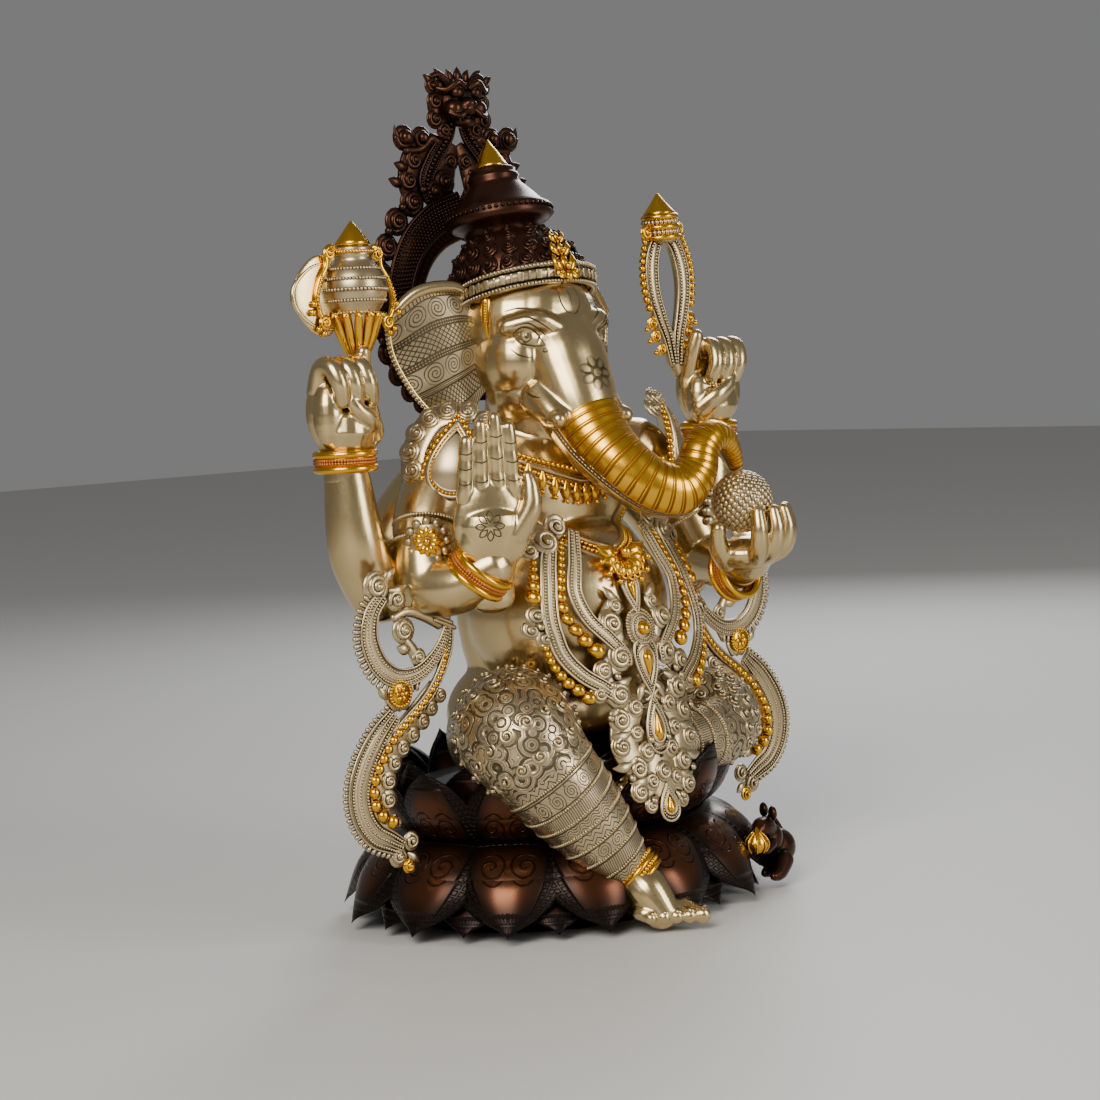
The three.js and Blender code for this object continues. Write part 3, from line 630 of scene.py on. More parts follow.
# %% [markdown]
# The sweet ball is pressed from round grains. Points set one golden turn apart cover a sphere evenly, as
# seeds do on a sunflower, and each point carries one low dome.
# %% Sweet ball
GRAINS, GOLDEN_TURN = 300, math.radians(137.508)
ball_bm = bmesh.new()
orb(ball_bm, ball_at, 18.8, sides=32)
grains = bmesh.new()
for k in range(GRAINS):
    rise = 1 - 2 * (k + 0.5) / GRAINS
    wide = math.sqrt(1 - rise * rise)
    way = Vector((wide * math.cos(GOLDEN_TURN * k), wide * math.sin(GOLDEN_TURN * k), rise))
    m = stand(ball_at + way * 18.5, towards=way) @ Matrix.Diagonal((2.25, 2.25, 1.25, 1))
    bmesh.ops.create_uvsphere(grains, u_segments=12, v_segments=6, radius=1, matrix=m)
pour(ball_bm, grains)
sweet_ball = add_piece("sweet_ball_grains", ball_bm, chased_brass, "sweet_ball")

# %% [markdown]
# The head is one casting as far as the gilded part of the trunk. It is built as a sculptor would in clay:
# a skull, two heavy cheeks, a brow, lids over the eyes, a mouth corner and the trunk's wide root.
# %% Head
head_bm = bmesh.new()
orb(head_bm, (0, 2, 368), (45, 40, 40), sides=36)
orb(head_bm, (0, -14, 372), (33, 26, 28), sides=28)
for side in (-1, 1):
    orb(head_bm, (side * 27, -8, 345), (19, 25, 25), sides=28)
    orb(head_bm, (side * 21, -8, 324), (19, 22, 20), sides=24)
    orb(head_bm, (side * 26, -28, 359), (9, 7, 7), sides=20)
    sweep(head_bm, [(side * 12, -38, 364, 6), (side * 24, -34, 369, 6.5), (side * 38, -22, 366, 6)],
          sides=14)
    sweep(head_bm, [(side * 21, -30, 322, 13), (side * 23, -42, 313, 10), (side * 23, -50, 309, 7)],
          sides=16)
orb(head_bm, (0, -8, 312), (24, 24, 16), sides=24)
sweep(head_bm, [(0, -16, 362, 26), (0, -26, 346, 28), (0, -33, 332, 27), (0, -41, 316, 25),
                (0.5, -48, 304, 22), (2, -56, 294, 19)], sides=32, count=30)
sweep(head_bm, [(0, -2, 330, 33), (0, -1, 300, 34)], sides=28, count=4)
head = add_piece("head_skin", head_bm, satin_brass, ["head", "right_tusk"], melt=1.1, smooth=9)

# %% [markdown]
# The gilded trunk is a strand that tapers through its curl. Cross lines ring its front, and the plain
# underside is left bright, so the material reads how far round the strand it is.
# %% Trunk
trunk_path = [(0.3, -46, 306, 23.6), (2, -56, 292, 21.6), (8, -70, 277, 19.4), (20, -82, 264, 18),
              (36, -89, 261, 16.6), (49, -91, 271, 14), (55, -91, 284, 12), (64, -91, 291.5, 10.8),
              (76, -89, 289, 9.2), (84, -87, 281, 7.5), (88, -86, 274, 6)]
trunk_bm = bmesh.new()
TRUNK_FRONT = Vector((0.12, -0.8, 0.6)).normalized()
sweep(trunk_bm, trunk_path, sides=48, count=150, facing=TRUNK_FRONT)


def trunk_metal():
    """Gilt with cross lines in front, satin brass behind, and a dotted border where the two meet."""
    shop = Shop("trunk_gilt")
    u, v, _ = shop.split(shop.node("ShaderNodeUVMap", {}, {}))
    off = (v - 0.25).math("ABSOLUTE")
    off = off.math("MINIMUM", 1 - off)
    front = 1 - off.step(0.270, 0.276)
    rail = (off - 0.295).math("ABSOLUTE").step(0.014, 0.020)
    grain = (u / 1.5).fold().step(0.1, 0.3)
    line = grooves(u, 4.6, 0.11) * grooves(u + 1.1, 4.6, 0.07)
    line = line * front + (1 - front)
    border = rail + (1 - rail) * grain * (off - 0.295).math("ABSOLUTE").step(0.006, 0.002)
    height = line * border
    patches = shop.noise(shop.place(), 0.06, 4.0)
    # Painted shade: the sky test darkens the gilt and the brass where the curl and the face close round
    # them.
    rubbed_and_unshaded = shop.open_sky(6).step(0.3, 0.8)
    tone = (rubbed_and_unshaded * (patches * 0.4 + 0.7) * (height * 0.9 + 0.1)).clamp()
    gilt = shop.mix(tone, GOLD_SHADE, GOLD)
    plain = shop.mix(tone, SHADED_BRASS, PALE_BRASS)
    rough = 0.27 + (1 - height) * 0.3
    return shop.finish(Base_Color=shop.mix(front, plain, gilt), Metallic=1.0, Roughness=rough,
                       Normal=shop.bump(height, 0.6))


trunk = add_piece("gilded_trunk", trunk_bm, trunk_metal(), "trunk", "gold_lacquer")

# %% [markdown]
# Crown, from the bottom: a pierced band, a dark dome of curled hair, a wide cap turned like a pot lid,
# and a gilt cone. Its axis leans back ten degrees, and the cap and cone stand further back on the dome.
# %% Crown
CROWN_TILT = math.radians(10)
CROWN_LEAN = Vector((0, math.sin(CROWN_TILT), math.cos(CROWN_TILT)))
CAP_BACK = Matrix.Translation((0, 14, 4))
crown_foot = Vector((0, 4, 384))
lean = stand(crown_foot, towards=CROWN_LEAN)
DOME_FLAT, DOME_BACK = 0.88, 5
dome_bm = bmesh.new()
turned(dome_bm, lean @ Matrix.Translation((0, DOME_BACK, 0)) @ Matrix.Diagonal((1, DOME_FLAT, 1, 1)),
       [(0, -6), (39, -6), (42.5, 2), (43.5, 10), (42.5, 20), (38, 31), (29, 40), (18, 45), (0, 46)], 48)
dome = add_piece("crown_dome_skin", dome_bm, dark_bronze, "crown_dome")
lean_back = CAP_BACK @ lean
cap_bm = bmesh.new()
turned(cap_bm, lean_back, [(0, 24), (23, 25), (24, 38), (25, 41), (31, 43.5), (35, 47), (33.5, 49.5),
                           (34, 51.5),
                           (33, 53.5), (29, 56), (24, 62), (17.5, 69), (16, 72), (17, 74), (16, 76),
                           (14.5, 77),
                           (15, 79), (13, 80.5), (0, 80.5)], 56)
for k in range(52):
    turn = TAU * k / 52
    bead(cap_bm, lean_back @ Vector((34.2 * math.cos(turn), 34.2 * math.sin(turn), 50.6)), 1.2)
cap = add_piece("crown_cap_skin", cap_bm, dark_bronze, "crown_cap")
cone_bm = bmesh.new()
turned(cone_bm, lean_back, [(0, 80.6), (10.6, 80.6), (10.9, 82), (10.2, 83), (5.4, 92), (0.9, 99.6),
                            (0, 100)], 40)
cone = add_piece("crown_cone", cone_bm, gold_lacquer, "crown_finial")

# %% [markdown]
# The lower lotus tier: broad heart-shaped petals that bulge out and curl up at the tip. One petal is a
# grid bent to shape. It is turned and stretched to each place round the oval. Its own UV map says how far
# across and how far up the petal a point lies, so the chased outlines can follow its edge to the tip.
# %% Lotus petals
def petal(width, tall, bulge, tip, flare, thick=4.5, rows=22, cols=20):
    """A petal that stands along Z, faces -Y, and is as wide as `width`. The tip is drawn to a point."""
    bm = bmesh.new()
    bm.loops.layers.uv.verify()
    made = bmesh.ops.create_grid(bm, x_segments=cols, y_segments=rows, size=1.0, calc_uvs=True)["verts"]
    for v in made:
        a, f = v.co.x, (v.co.y + 1) / 2
        outline = math.sin(math.pi * (0.20 + 0.80 * f) ** 0.9) ** 0.62 if f < 1 else 0
        half = width / 2 * max(outline, 0.02)
        drop = 1 - abs(a) ** 2.2
        y = -bulge * math.sin(math.pi * min(f * 0.92 + 0.06, 1)) * (0.35 + 0.65 * drop) - flare * f ** 3
        v.co = Vector((a * half, y, tall * f + tip * f ** 5 * drop))
    bmesh.ops.solidify(bm, geom=bm.faces[:], thickness=thick)
    return bm


def ring_of_petals(bm, count, half_x, half_y, foot, make, offset=0.0, lean_out=0.0):
    """Places a petal at equal steps round an oval, each facing out."""
    for k in range(count):
        turn = TAU * (k + offset) / count
        at = Vector((half_x * math.sin(turn), -half_y * math.cos(turn), foot))
        out = Vector((math.sin(turn) / half_x, -math.cos(turn) / half_y, 0)).normalized()
        heading = math.atan2(out.y, out.x) + math.pi / 2
        m = (Matrix.Translation(at) @ Matrix.Rotation(heading, 4, "Z")
             @ Matrix.Rotation(math.radians(lean_out), 4, "X"))
        pour(bm, make(), m)


def petal_lines(shop):
    """Ridged outlines round the rim, and two mirrored snail curls on the bulge."""
    u, v, _ = shop.split(shop.node("ShaderNodeUVMap", {}, {}))
    side = (u * 2 - 1).math("ABSOLUTE")
    inside = (1 - side.step(0.60, 0.66)) * (1 - v.step(0.80, 0.86)) * v.step(0.06, 0.1)
    rims = (((side - 0.63) / 0.12).fold().step(0.10, 0.26) * ((v - 0.83) / 0.07).fold().step(0.10, 0.26))
    x, y = side - 0.29, (v - 0.42) * 1.5
    far = (x * x + y * y).math("SQRT")
    swirl = (far * 6.5 - y.math("ARCTAN2", x) / TAU).fold().step(0.05, 0.16).math("MAXIMUM",
                                                                                  far.step(0.25, 0.28))
    crown = (1 - side.step(0.25, 0.68)) * v.step(0.05, 0.3) * (1 - v.step(0.62, 0.88))
    return swirl * inside + rims * (1 - inside), crown


def petal_metal():
    """Nearly black at the rims and in the lines, and polished brown where the petal bulges."""
    shop = Shop("petal_bronze")
    height, crown = petal_lines(shop)
    worn = shop.noise(shop.place(), 0.06, 3.0) * 0.6 + 0.7
    # Painted shade and wear: the sky test darkens petals where they overlap, and the bulge is rubbed brown.
    rubbed_and_unshaded = shop.open_sky(12).step(0.35, 0.95) * (crown * 0.9 + 0.1) * (height * 0.7 + 0.3) * worn
    rough = 0.36 - crown * 0.12
    return shop.finish(Base_Color=shop.mix(rubbed_and_unshaded.clamp(), BRONZE, PETAL_BROWN), Metallic=0.8,
                       Roughness=rough,
                       Normal=shop.bump(height, 1.0))


petal_bronze = petal_metal()
print("petals ready")
# %% Lotus tiers
lower_bm = bmesh.new()
ring_of_petals(lower_bm, 14, 101, 79, 50, lambda: petal(72, 58, -18, 6, -10), 0.0, 143)
ring_of_petals(lower_bm, 14, 96, 74, 47, lambda: petal(60, 57, -10, 4, -6), 0.5, 139)
turned(lower_bm, Matrix.Diagonal((1, 0.82, 1, 1)), [(84, 55), (104, 55), (110, 44), (112, 14), (106, 0.5),
                                                  (96, 0.5), (84, 55)], 56)
lower = add_piece("lower_lotus", lower_bm, petal_bronze, "lotus_plinth", "dark_bronze")
upper_bm = bmesh.new()
ring_of_petals(upper_bm, 14, 98, 72, 57, lambda: petal(58, 50, 13, 5, 5), 0.0, 27)
ring_of_petals(upper_bm, 14, 91, 65, 57, lambda: petal(54, 51, 10, 4, 5), 0.5, 21)
turned(upper_bm, Matrix.Diagonal((1, 0.75, 1, 1)), [(0, 80), (90, 80), (102, 82), (96, 62), (88, 56.5),
                                                  (82, 57), (84, 74), (0, 74)], 56)
upper = add_piece("upper_lotus", upper_bm, petal_bronze, "lotus_seat", "dark_bronze")

# %% [markdown]
# All the filigree is made of a few motifs, and each is drawn flat in the XZ plane, facing -Y: a bar, a
# row of beads that grow, a ribbon with ropes on it, a snail curl, a leaf, a comb of teeth and a rimmed
# drop. A finished drawing is then bent over the belly or stood up behind the head.
# %% Ornament motifs
FRONT = Vector((0, -1, 0))


def bar(bm, points, y=0.0, flat=0.7, sides=8, count=None):
    """A strand through (x, z, radius) points. A fourth number brings a point forward."""
    stations = [(p[0], y - (p[3] if len(p) > 3 else 0), p[1], p[2]) for p in points]
    sweep(bm, stations, sides=sides, count=count or 5 * len(points), facing=FRONT, flat=flat)


def beads_along(bm, path, first, last=None, spacing=1.0):
    """Beads that touch, along a path in space, growing from the first radius to the last."""
    line = smooth_path(path, 30 * (len(path) - 1))
    whole = sum((b - a).length for a, b in zip(line, line[1:]))
    grow = (first if last is None else last) - first
    passed = due = 0.0
    string = bmesh.new()
    for a, b in zip(line, line[1:]):
        step = max((b - a).length, 1e-6)
        while due <= passed + step and due <= whole:
            radius = first + grow * due / whole
            bead(string, a.lerp(b, (due - passed) / step), radius)
            due += 2 * radius * spacing
        passed += step
    pour(bm, string)


def in_plane(points, y=0.0):
    return [(p[0], y, p[1]) for p in points]


def beside(points, offset):
    """The same (x, z, half width) line, moved sideways by a share of its half width."""
    line = smooth_path(points, 5 * (len(points) - 1))
    out = []
    for i, p in enumerate(line):
        a, b = line[max(i - 1, 0)], line[min(i + 1, len(line) - 1)]
        way = Vector((b[0] - a[0], b[1] - a[1])).normalized()
        out.append((p[0] - way.y * p[2] * offset, p[1] + way.x * p[2] * offset, p[2]))
    return out


def ribbon(bm, points, y=0.0, thick=3.2, rails=(-0.9, 0.0, 0.9), ropes=(-0.45, 0.45), grain=1.0,
           rail=0.8):
    """A flat band with smooth rails and dotted ropes along its face, through (x, z, half width)."""
    half = sum(p[2] for p in points) / len(points)
    bar(bm, points, y, flat=thick / 2 / half, sides=12, count=8 * len(points))
    for offset in rails:
        line = [(p[0], p[1], rail) for p in beside(points, offset)]
        bar(bm, line, y - thick * 0.36, flat=1, sides=6, count=6 * len(points))
    for offset in ropes:
        beads_along(bm, in_plane(beside(points, offset), y - thick * 0.5), grain, spacing=0.95)


def curl(bm, at, radius, start=0.0, hand=1, turns=1.5, y=0.0, flat=0.9):
    """A snail: a strand that winds in and rises to a round boss."""
    thick = radius * 0.27
    stations = []
    for k in range(13):
        f = k / 12
        turn = math.radians(start) + hand * TAU * turns * f
        far = (radius - thick) * (1 - 0.80 * f)
        stations.append((at[0] + far * math.cos(turn), at[1] + far * math.sin(turn),
                         thick * (1 - 0.3 * f),
                         radius * 0.30 * f))
    bar(bm, stations, y, flat=flat, sides=7, count=22)
    snail = bmesh.new()
    orb(snail, (at[0], y + thick * 0.2, at[1]), (radius * 1.04, thick * 0.8, radius * 1.04), sides=14)
    bead(snail, (at[0], y - radius * 0.38, at[1]), radius * 0.26)
    pour(bm, snail)


def leaf(bm, root, tip, width, y=0.0, bend=0.0, flat=0.5):
    """A pointed leaf that swells in the middle and bends sideways."""
    a, b = Vector(root), Vector(tip)
    across_way = Vector((-(b - a).y, (b - a).x)).normalized() * bend
    stations = []
    for f, r in ((0, 0.35), (0.3, 0.9), (0.55, 1.0), (0.8, 0.6), (1.0, 0.08)):
        p = a.lerp(b, f) + across_way * math.sin(math.pi * f)
        stations.append((p.x, p.y, width / 2 * r))
    bar(bm, stations, y, flat=flat, count=12)


def teeth(bm, points, side, size, pitch, y=0.0):
    """A comb of round-ended teeth that stand out from one side of an (x, z, half width) line."""
    line = beside(points, side)
    inner = beside(points, side * 0.6)
    outer = smooth_path([(*a[:2], *b[:2]) for a, b in zip(line, inner)], 400)
    due = 0.0
    for a, b in zip(outer, outer[1:]):
        due -= math.hypot(b[0] - a[0], b[1] - a[1])
        if due <= 0:
            due += pitch
            way = Vector((a[0] - a[2], a[1] - a[3])).normalized()
            tip = Vector(a[:2]) + way * size
            bar(bm, [(a[2], a[3], pitch * 0.30), (*a[:2], pitch * 0.36), (*tip, pitch * 0.46)], y,
                flat=0.9,
                sides=6, count=4)


def outline_of_drop(at, tall, wide, scale=1.0, point=1):
    """A teardrop round `at`: its point is up where point is 1 and down where it is -1."""
    out = []
    for k in range(17):
        t = TAU * k / 16
        x = wide / 2 * scale * math.sin(t) * math.sin(t / 2) ** 1.2 * 1.15
        out.append((at[0] + x, at[1] + point * tall / 2 * scale * math.cos(t)))
    return out


def drop(bm, gold, at, tall, wide, y=0.0, point=1, rim=1.1):
    """A plate with two rims and a rope, and a polished stone in gold in its middle."""
    foot = at[1] - point * tall * 0.13
    bar(bm, [(at[0], at[1] - point * tall * 0.42, wide * 0.30), (at[0], foot, wide * 0.44),
             (at[0], at[1] + point * tall * 0.12, wide * 0.30),
             (at[0], at[1] + point * tall * 0.42, wide * 0.06)],
        y, flat=0.22, sides=14, count=16)
    for scale, lift in ((1.0, 0.9), (0.62, 1.5)):
        bar(bm, [(*p, rim) for p in outline_of_drop(at, tall, wide, scale, point)], y - lift, flat=1,
            sides=6,
            count=40)
    beads_along(bm, in_plane(outline_of_drop(at, tall, wide, 0.81, point), y - 1.6), 0.75, spacing=1.1)
    middle_of = (at[0], at[1] - point * tall * 0.06)
    bar(gold, [(middle_of[0], middle_of[1] - point * tall * 0.17, wide * 0.10),
               (middle_of[0], middle_of[1] - point * tall * 0.07, wide * 0.17),
               (middle_of[0], middle_of[1] + point * tall * 0.20, wide * 0.03)], y - 2.0, flat=0.8,
               sides=10, count=10)


def both(bm, draw):
    """Draws once, and again mirrored in the middle plane."""
    half = bmesh.new()
    draw(half)
    mirror_x(half)
    pour(bm, half)


def bend(bm, depth):
    """Moves a flat drawing back or forward by depth(x, z)."""
    for v in bm.verts:
        v.co.y += depth(v.co.x, v.co.z)


print("motifs ready")
# %% [markdown]
# The apron hangs from the chest over the belly and down to the shins. It was cast as one openwork net:
# two strands on each side, rows of gold beads between them, and a column of drops down the middle. The
# whole net is drawn flat and bent to the belly, which is why one curve gives the depth of every part.
# %% Apron
NET_HANG = ((60, -108), (120, -98), (150, -93), (180, -88), (210, -78), (245, -62))


def belly_front(x, z):
    """How far forward the net lies at a height, wrapping back towards its sides."""
    z = min(max(z, NET_HANG[0][0]), NET_HANG[-1][0])
    for (z0, y0), (z1, y1) in zip(NET_HANG, NET_HANG[1:]):
        if z <= z1:
            return y0 + (y1 - y0) * (z - z0) / (z1 - z0) + 0.0035 * x * x
    return NET_HANG[-1][1]


net, net_gold = bmesh.new(), bmesh.new()
OUTER = [(-44, 238, 4.0), (-51, 222, 4.6), (-57, 201, 4.8), (-59, 184, 4.8), (-56, 168, 4.8),
         (-46, 155, 4.6),
         (-33, 146, 4.2), (-24, 138, 3.0)]
INNER = [(-28, 240, 3.4), (-34, 222, 4.0), (-40, 205, 4.4), (-36, 188, 4.4), (-25, 175, 4.2),
         (-16, 165, 3.4),
         (-15, 158, 2.6)]


def net_side(bm):
    ribbon(bm, OUTER)
    ribbon(bm, INNER)
    for web in ([(-14, 196, 5), (-20, 186, 7), (-16, 172, 4)],
                [(-16, 165, 7), (-30, 152, 8), (-24, 139, 8), (-14, 131, 7)],
                [(-12, 134, 7), (-22, 122, 10), (-24, 108, 10), (-17, 94, 9), (-10, 80, 7)],
                [(0, 104, 9), (-2, 90, 11), (0, 78, 9)],
                [(-60, 192, 4), (-67, 186, 5), (-60, 178, 4)]):
        bar(bm, web, 1.2, flat=0.16, sides=12)
    curl(bm, (-48, 236), 9.6, 200, 1, 1.8)
    curl(bm, (-38, 244), 7, 20, -1)
    curl(bm, (-59, 231), 6.4, 90, 1)
    leaf(bm, (-44, 244), (-62, 240), 7, bend=2)
    for at, radius, start in (((-66, 192), 6.0, 0), ((-71, 184), 5.4, 120), ((-64, 178), 5.4, 240)):
        curl(bm, at, radius, start)
    for x, z, radius, start, hand in (
            (-21, 184, 8.4, 200, -1), (-15, 194, 5.4, 60, 1), (-19, 163, 8.6, 40, 1),
            (-32, 156, 6.6, 60, 1),
            (-24, 141, 8.6, 30, 1), (-37, 143, 6.0, 90, -1), (-26, 126, 7.6, 90, -1),
            (-14, 132, 6.4, 0, 1),
            (-28, 110, 7.0, 90, 1), (-19, 96, 7.8, 90, -1), (-10, 105, 6.4, 0, 1), (-20, 82, 6.6, 80, 1),
            (-10, 87, 6.0, 180, -1), (-16, 117, 5.6, 0, 1), (-13, 73, 5.0, 120, 1)):
        curl(bm, (x, z), radius, start, hand, 1.7)
    for root, tip in (((-12, 198), (-20, 206)), ((-14, 150), (-28, 148)), ((-10, 136), (-2, 146)),
                      ((-20, 118), (-34, 117)), ((-22, 100), (-36, 98)), ((-12, 90), (-26, 88)),
                      ((-8, 78), (-18, 73))):
        leaf(bm, root, tip, 6.5, bend=1.5)
    for at in ((-66, 186), (-33, 128), (-31, 111), (-25, 91), (-12, 76), (-7, 112), (-28, 147),
               (-24, 152)):
        bead(bm, (at[0], -1.5, at[1]), 2.3)


both(net, net_side)
drop(net, net_gold, (0, 201), 28, 15, point=-1)
drop(net, net_gold, (0, 156), 36, 21, point=-1)
drop(net, net_gold, (0, 121), 36, 20, point=1)
drop(net, net_gold, (0, 73), 22, 17, point=1)
bar(net, [(0, 214, 3), (0, 208, 4.5)], flat=0.6)
bar(net, [(0, 170, 8), (0, 179, 11.5), (0, 188, 8)], flat=0.22, sides=16)
for radius, lift, grain in ((11.6, 0.6, 1.1), (9.2, 1.6, 0.9), (6.6, 2.3, 1.0)):
    turns = [TAU * k / 16 for k in range(17)]
    circle = [(radius * math.sin(turn) * 0.92, 179 + radius * math.cos(turn)) for turn in turns]
    beads_along(net, in_plane(circle, -lift), grain, spacing=0.85)
bead(net_gold, (0, -2.6, 179), 4.4)
for x in (-1.6, 1.6):
    bar(net, [(x * 3, 141, 1.2), (x, 138.5, 1.2), (x * 3, 136, 1.2)], -1, flat=1)
curl(net, (0, 92), 6.5, 90, 1, 1.6, y=-1)
both(net_gold, lambda bm: beads_along(bm, in_plane([(-38, 234), (-44, 218), (-49, 203), (-49, 190),
                                                    (-42, 177),
                                                    (-34, 168)], -0.5), 1.5, 5.0))
both(net_gold, lambda bm: beads_along(bm, in_plane([(-59, 224), (-63, 211), (-66, 199)], -0.5), 2.0, 4.6))
both(net_gold, lambda bm: beads_along(bm, in_plane([(-65, 173), (-62, 162), (-55, 151), (-46, 143),
                                                    (-40, 135)], -0.5),
                                      1.9, 4.8))
bend(net, belly_front)
bend(net_gold, belly_front)
apron = add_piece("apron_net", net, chased_brass, ["right_apron_strand", "left_apron_strand",
                                                   "apron_pendant"])
apron_gold = add_piece("apron_gold", net_gold, gold_lacquer)

# %% [markdown]
# Two scarves fall from the elbows in an S. Each has a hooked upper lobe and a long lower lobe, both with
# a comb of round teeth outside, a row of growing gold beads along the middle and curls on the inner side.
# The other scarf is the mirror image, so one drawing makes the pair.
# %% Scarves
SCARF_FRONT = -28
UPPER_LOBE = [(-150, 211, 4.0), (-158, 202, 5.2), (-161, 187, 6.2), (-155, 171, 6.4), (-143, 162, 6.0),
              (-128, 162, 5.0), (-116, 169, 4.2), (-107, 179, 3.2), (-102, 190, 2.4)]
LOWER_LOBE = [(-146, 140, 5.0), (-158, 128, 7.4), (-168.5, 113, 8.2), (-174, 97, 8.4), (-172, 82, 8.2),
              (-164.5, 71, 7.6), (-154, 65, 6.6), (-145, 60, 5.0)]
ROPE_EDGE = [(-101, 190, 2.2), (-104, 172, 2.6), (-118, 150, 2.8), (-140, 133, 2.8), (-153, 122, 2.6)]
BEAD_ROW = [(-105, 174), (-110, 160), (-123, 145), (-137, 134), (-149, 124), (-158, 112), (-163, 103),
            (-164, 95), (-163, 87), (-156, 79), (-145, 75)]
CURL_ROW = [(-110, 147, 4.4), (-117, 140, 4.6), (-124, 133, 4.9), (-132, 126, 5.1), (-140, 119, 5.4),
            (-147, 111, 5.7), (-152, 101, 6.2), (-153, 90, 6.6)]
cloth, cloth_gold = bmesh.new(), bmesh.new()


def scarf_side(bm):
    ribbon(bm, UPPER_LOBE, rails=(-0.92, -0.45, 0.1, 0.92), ropes=(-0.68, -0.18, 0.5))
    teeth(bm, UPPER_LOBE[:6], -1.0, 3.4, 3.9)
    ribbon(bm, LOWER_LOBE, rails=(-0.95, -0.3, 0.3, 0.95), ropes=(-0.62, 0.0, 0.62))
    teeth(bm, LOWER_LOBE, -1.0, 1.8, 3.7)
    ribbon(bm, ROPE_EDGE, rails=(-0.9, 0.9), ropes=(0.0,))
    bar(bm, [(-112, 152, 7), (-128, 137, 8), (-146, 120, 9), (-156, 102, 9), (-154, 88, 7)], 1.4,
        flat=0.16, sides=12)
    bar(bm, [(-133, 147, 6), (-141, 150, 9), (-148, 146, 6)], 1.0, flat=0.2, sides=12)
    bar(bm, [(*p, 3.0) for p in BEAD_ROW], 0.9, flat=0.45, count=60)
    for x, z, radius in CURL_ROW:
        curl(bm, (x, z), radius, 130, 1)
    curl(bm, (-153, 217), 9.5, 300, 1, 1.8)
    curl(bm, (-139, 208), 7, 200, -1)
    leaf(bm, (-148, 219), (-139, 227), 7)
    leaf(bm, (-144, 214), (-131, 216), 7, bend=-2)
    curl(bm, (-135, 189), 8.0, 0, 1, 1.8)
    bar(bm, [(-141, 197, 2.6), (-131, 200, 3.2), (-120, 197, 3.6), (-107, 190, 3.6)], 1.2)
    bar(bm, [(-133, 183, 3.0), (-127, 174, 4.2), (-124, 164, 3.2), (-128, 154, 2.4)], 1.0, flat=0.6)
    curl(bm, (-125, 172), 5.6, 180, -1, 1.6)
    leaf(bm, (-130, 178), (-141, 180), 7, bend=1)
    for k in range(4):
        bar(bm, [(-98 - 2 * k, 187 + 3.2 * k, 1.5), (-112 - 2 * k, 193 + 3.2 * k, 1.5)], -1.4, flat=1)
    leaf(bm, (-150, 150), (-156, 158), 6)
    curl(bm, (-148, 55), 6.5, 0, 1, 1.6)
    curl(bm, (-138, 63), 6.0, 90, -1)
    leaf(bm, (-141, 56), (-133, 50), 6)


def scarf_gold_side(bm):
    beads_along(bm, in_plane(BEAD_ROW, -1.2), 1.6, 4.6)
    orb(bm, (-141, -1.0, 152), (7.4, 2.2, 7.4))
    for k in range(24):
        turn = TAU * k / 24
        bead(bm, (-141 + 7.4 * math.cos(turn), -2.0, 152 + 7.4 * math.sin(turn)), 1.05)
    for k in range(6):
        turn = TAU * k / 6
        leaf(bm, (-141 + math.cos(turn), 152 + math.sin(turn)),
             (-141 + 5.6 * math.cos(turn), 152 + 5.6 * math.sin(turn)), 3.2, y=-3.0)
    bead(bm, (-141, -3.4, 152), 1.5)
    curl(bm, (-141, 48.5), 4.6, 90, 1, 1.5, y=-1)


both(cloth, scarf_side)
both(cloth_gold, scarf_gold_side)
for bm in (cloth, cloth_gold):
    bmesh.ops.translate(bm, vec=(0, SCARF_FRONT, 0), verts=bm.verts)
scarves = add_piece("scarves", cloth, chased_brass, ["right_scarf", "left_scarf"])
scarf_gold = add_piece("scarf_gold", cloth_gold, gold_lacquer)

# %% [markdown]
# The halo behind the head is an arch of dark bronze: a crosshatched field between an inner comb and an
# outer row of big curls, and two strands that pour from the mouth of the lion mask at the top.
# %% Halo
HALO_FRONT = 66
FIELD = [(0, 445, 11), (-22, 437, 11.5), (-38, 424, 11.5), (-48, 407, 11), (-53, 387, 10.5),
         (-54, 364, 10),
         (-50, 344, 9), (-43, 330, 7)]
MOUTH_STRAND = [(-5, 502, 4.0), (-9, 491, 4.8), (-20, 478, 5.4), (-28, 463, 5.4), (-25, 450, 4.0)]


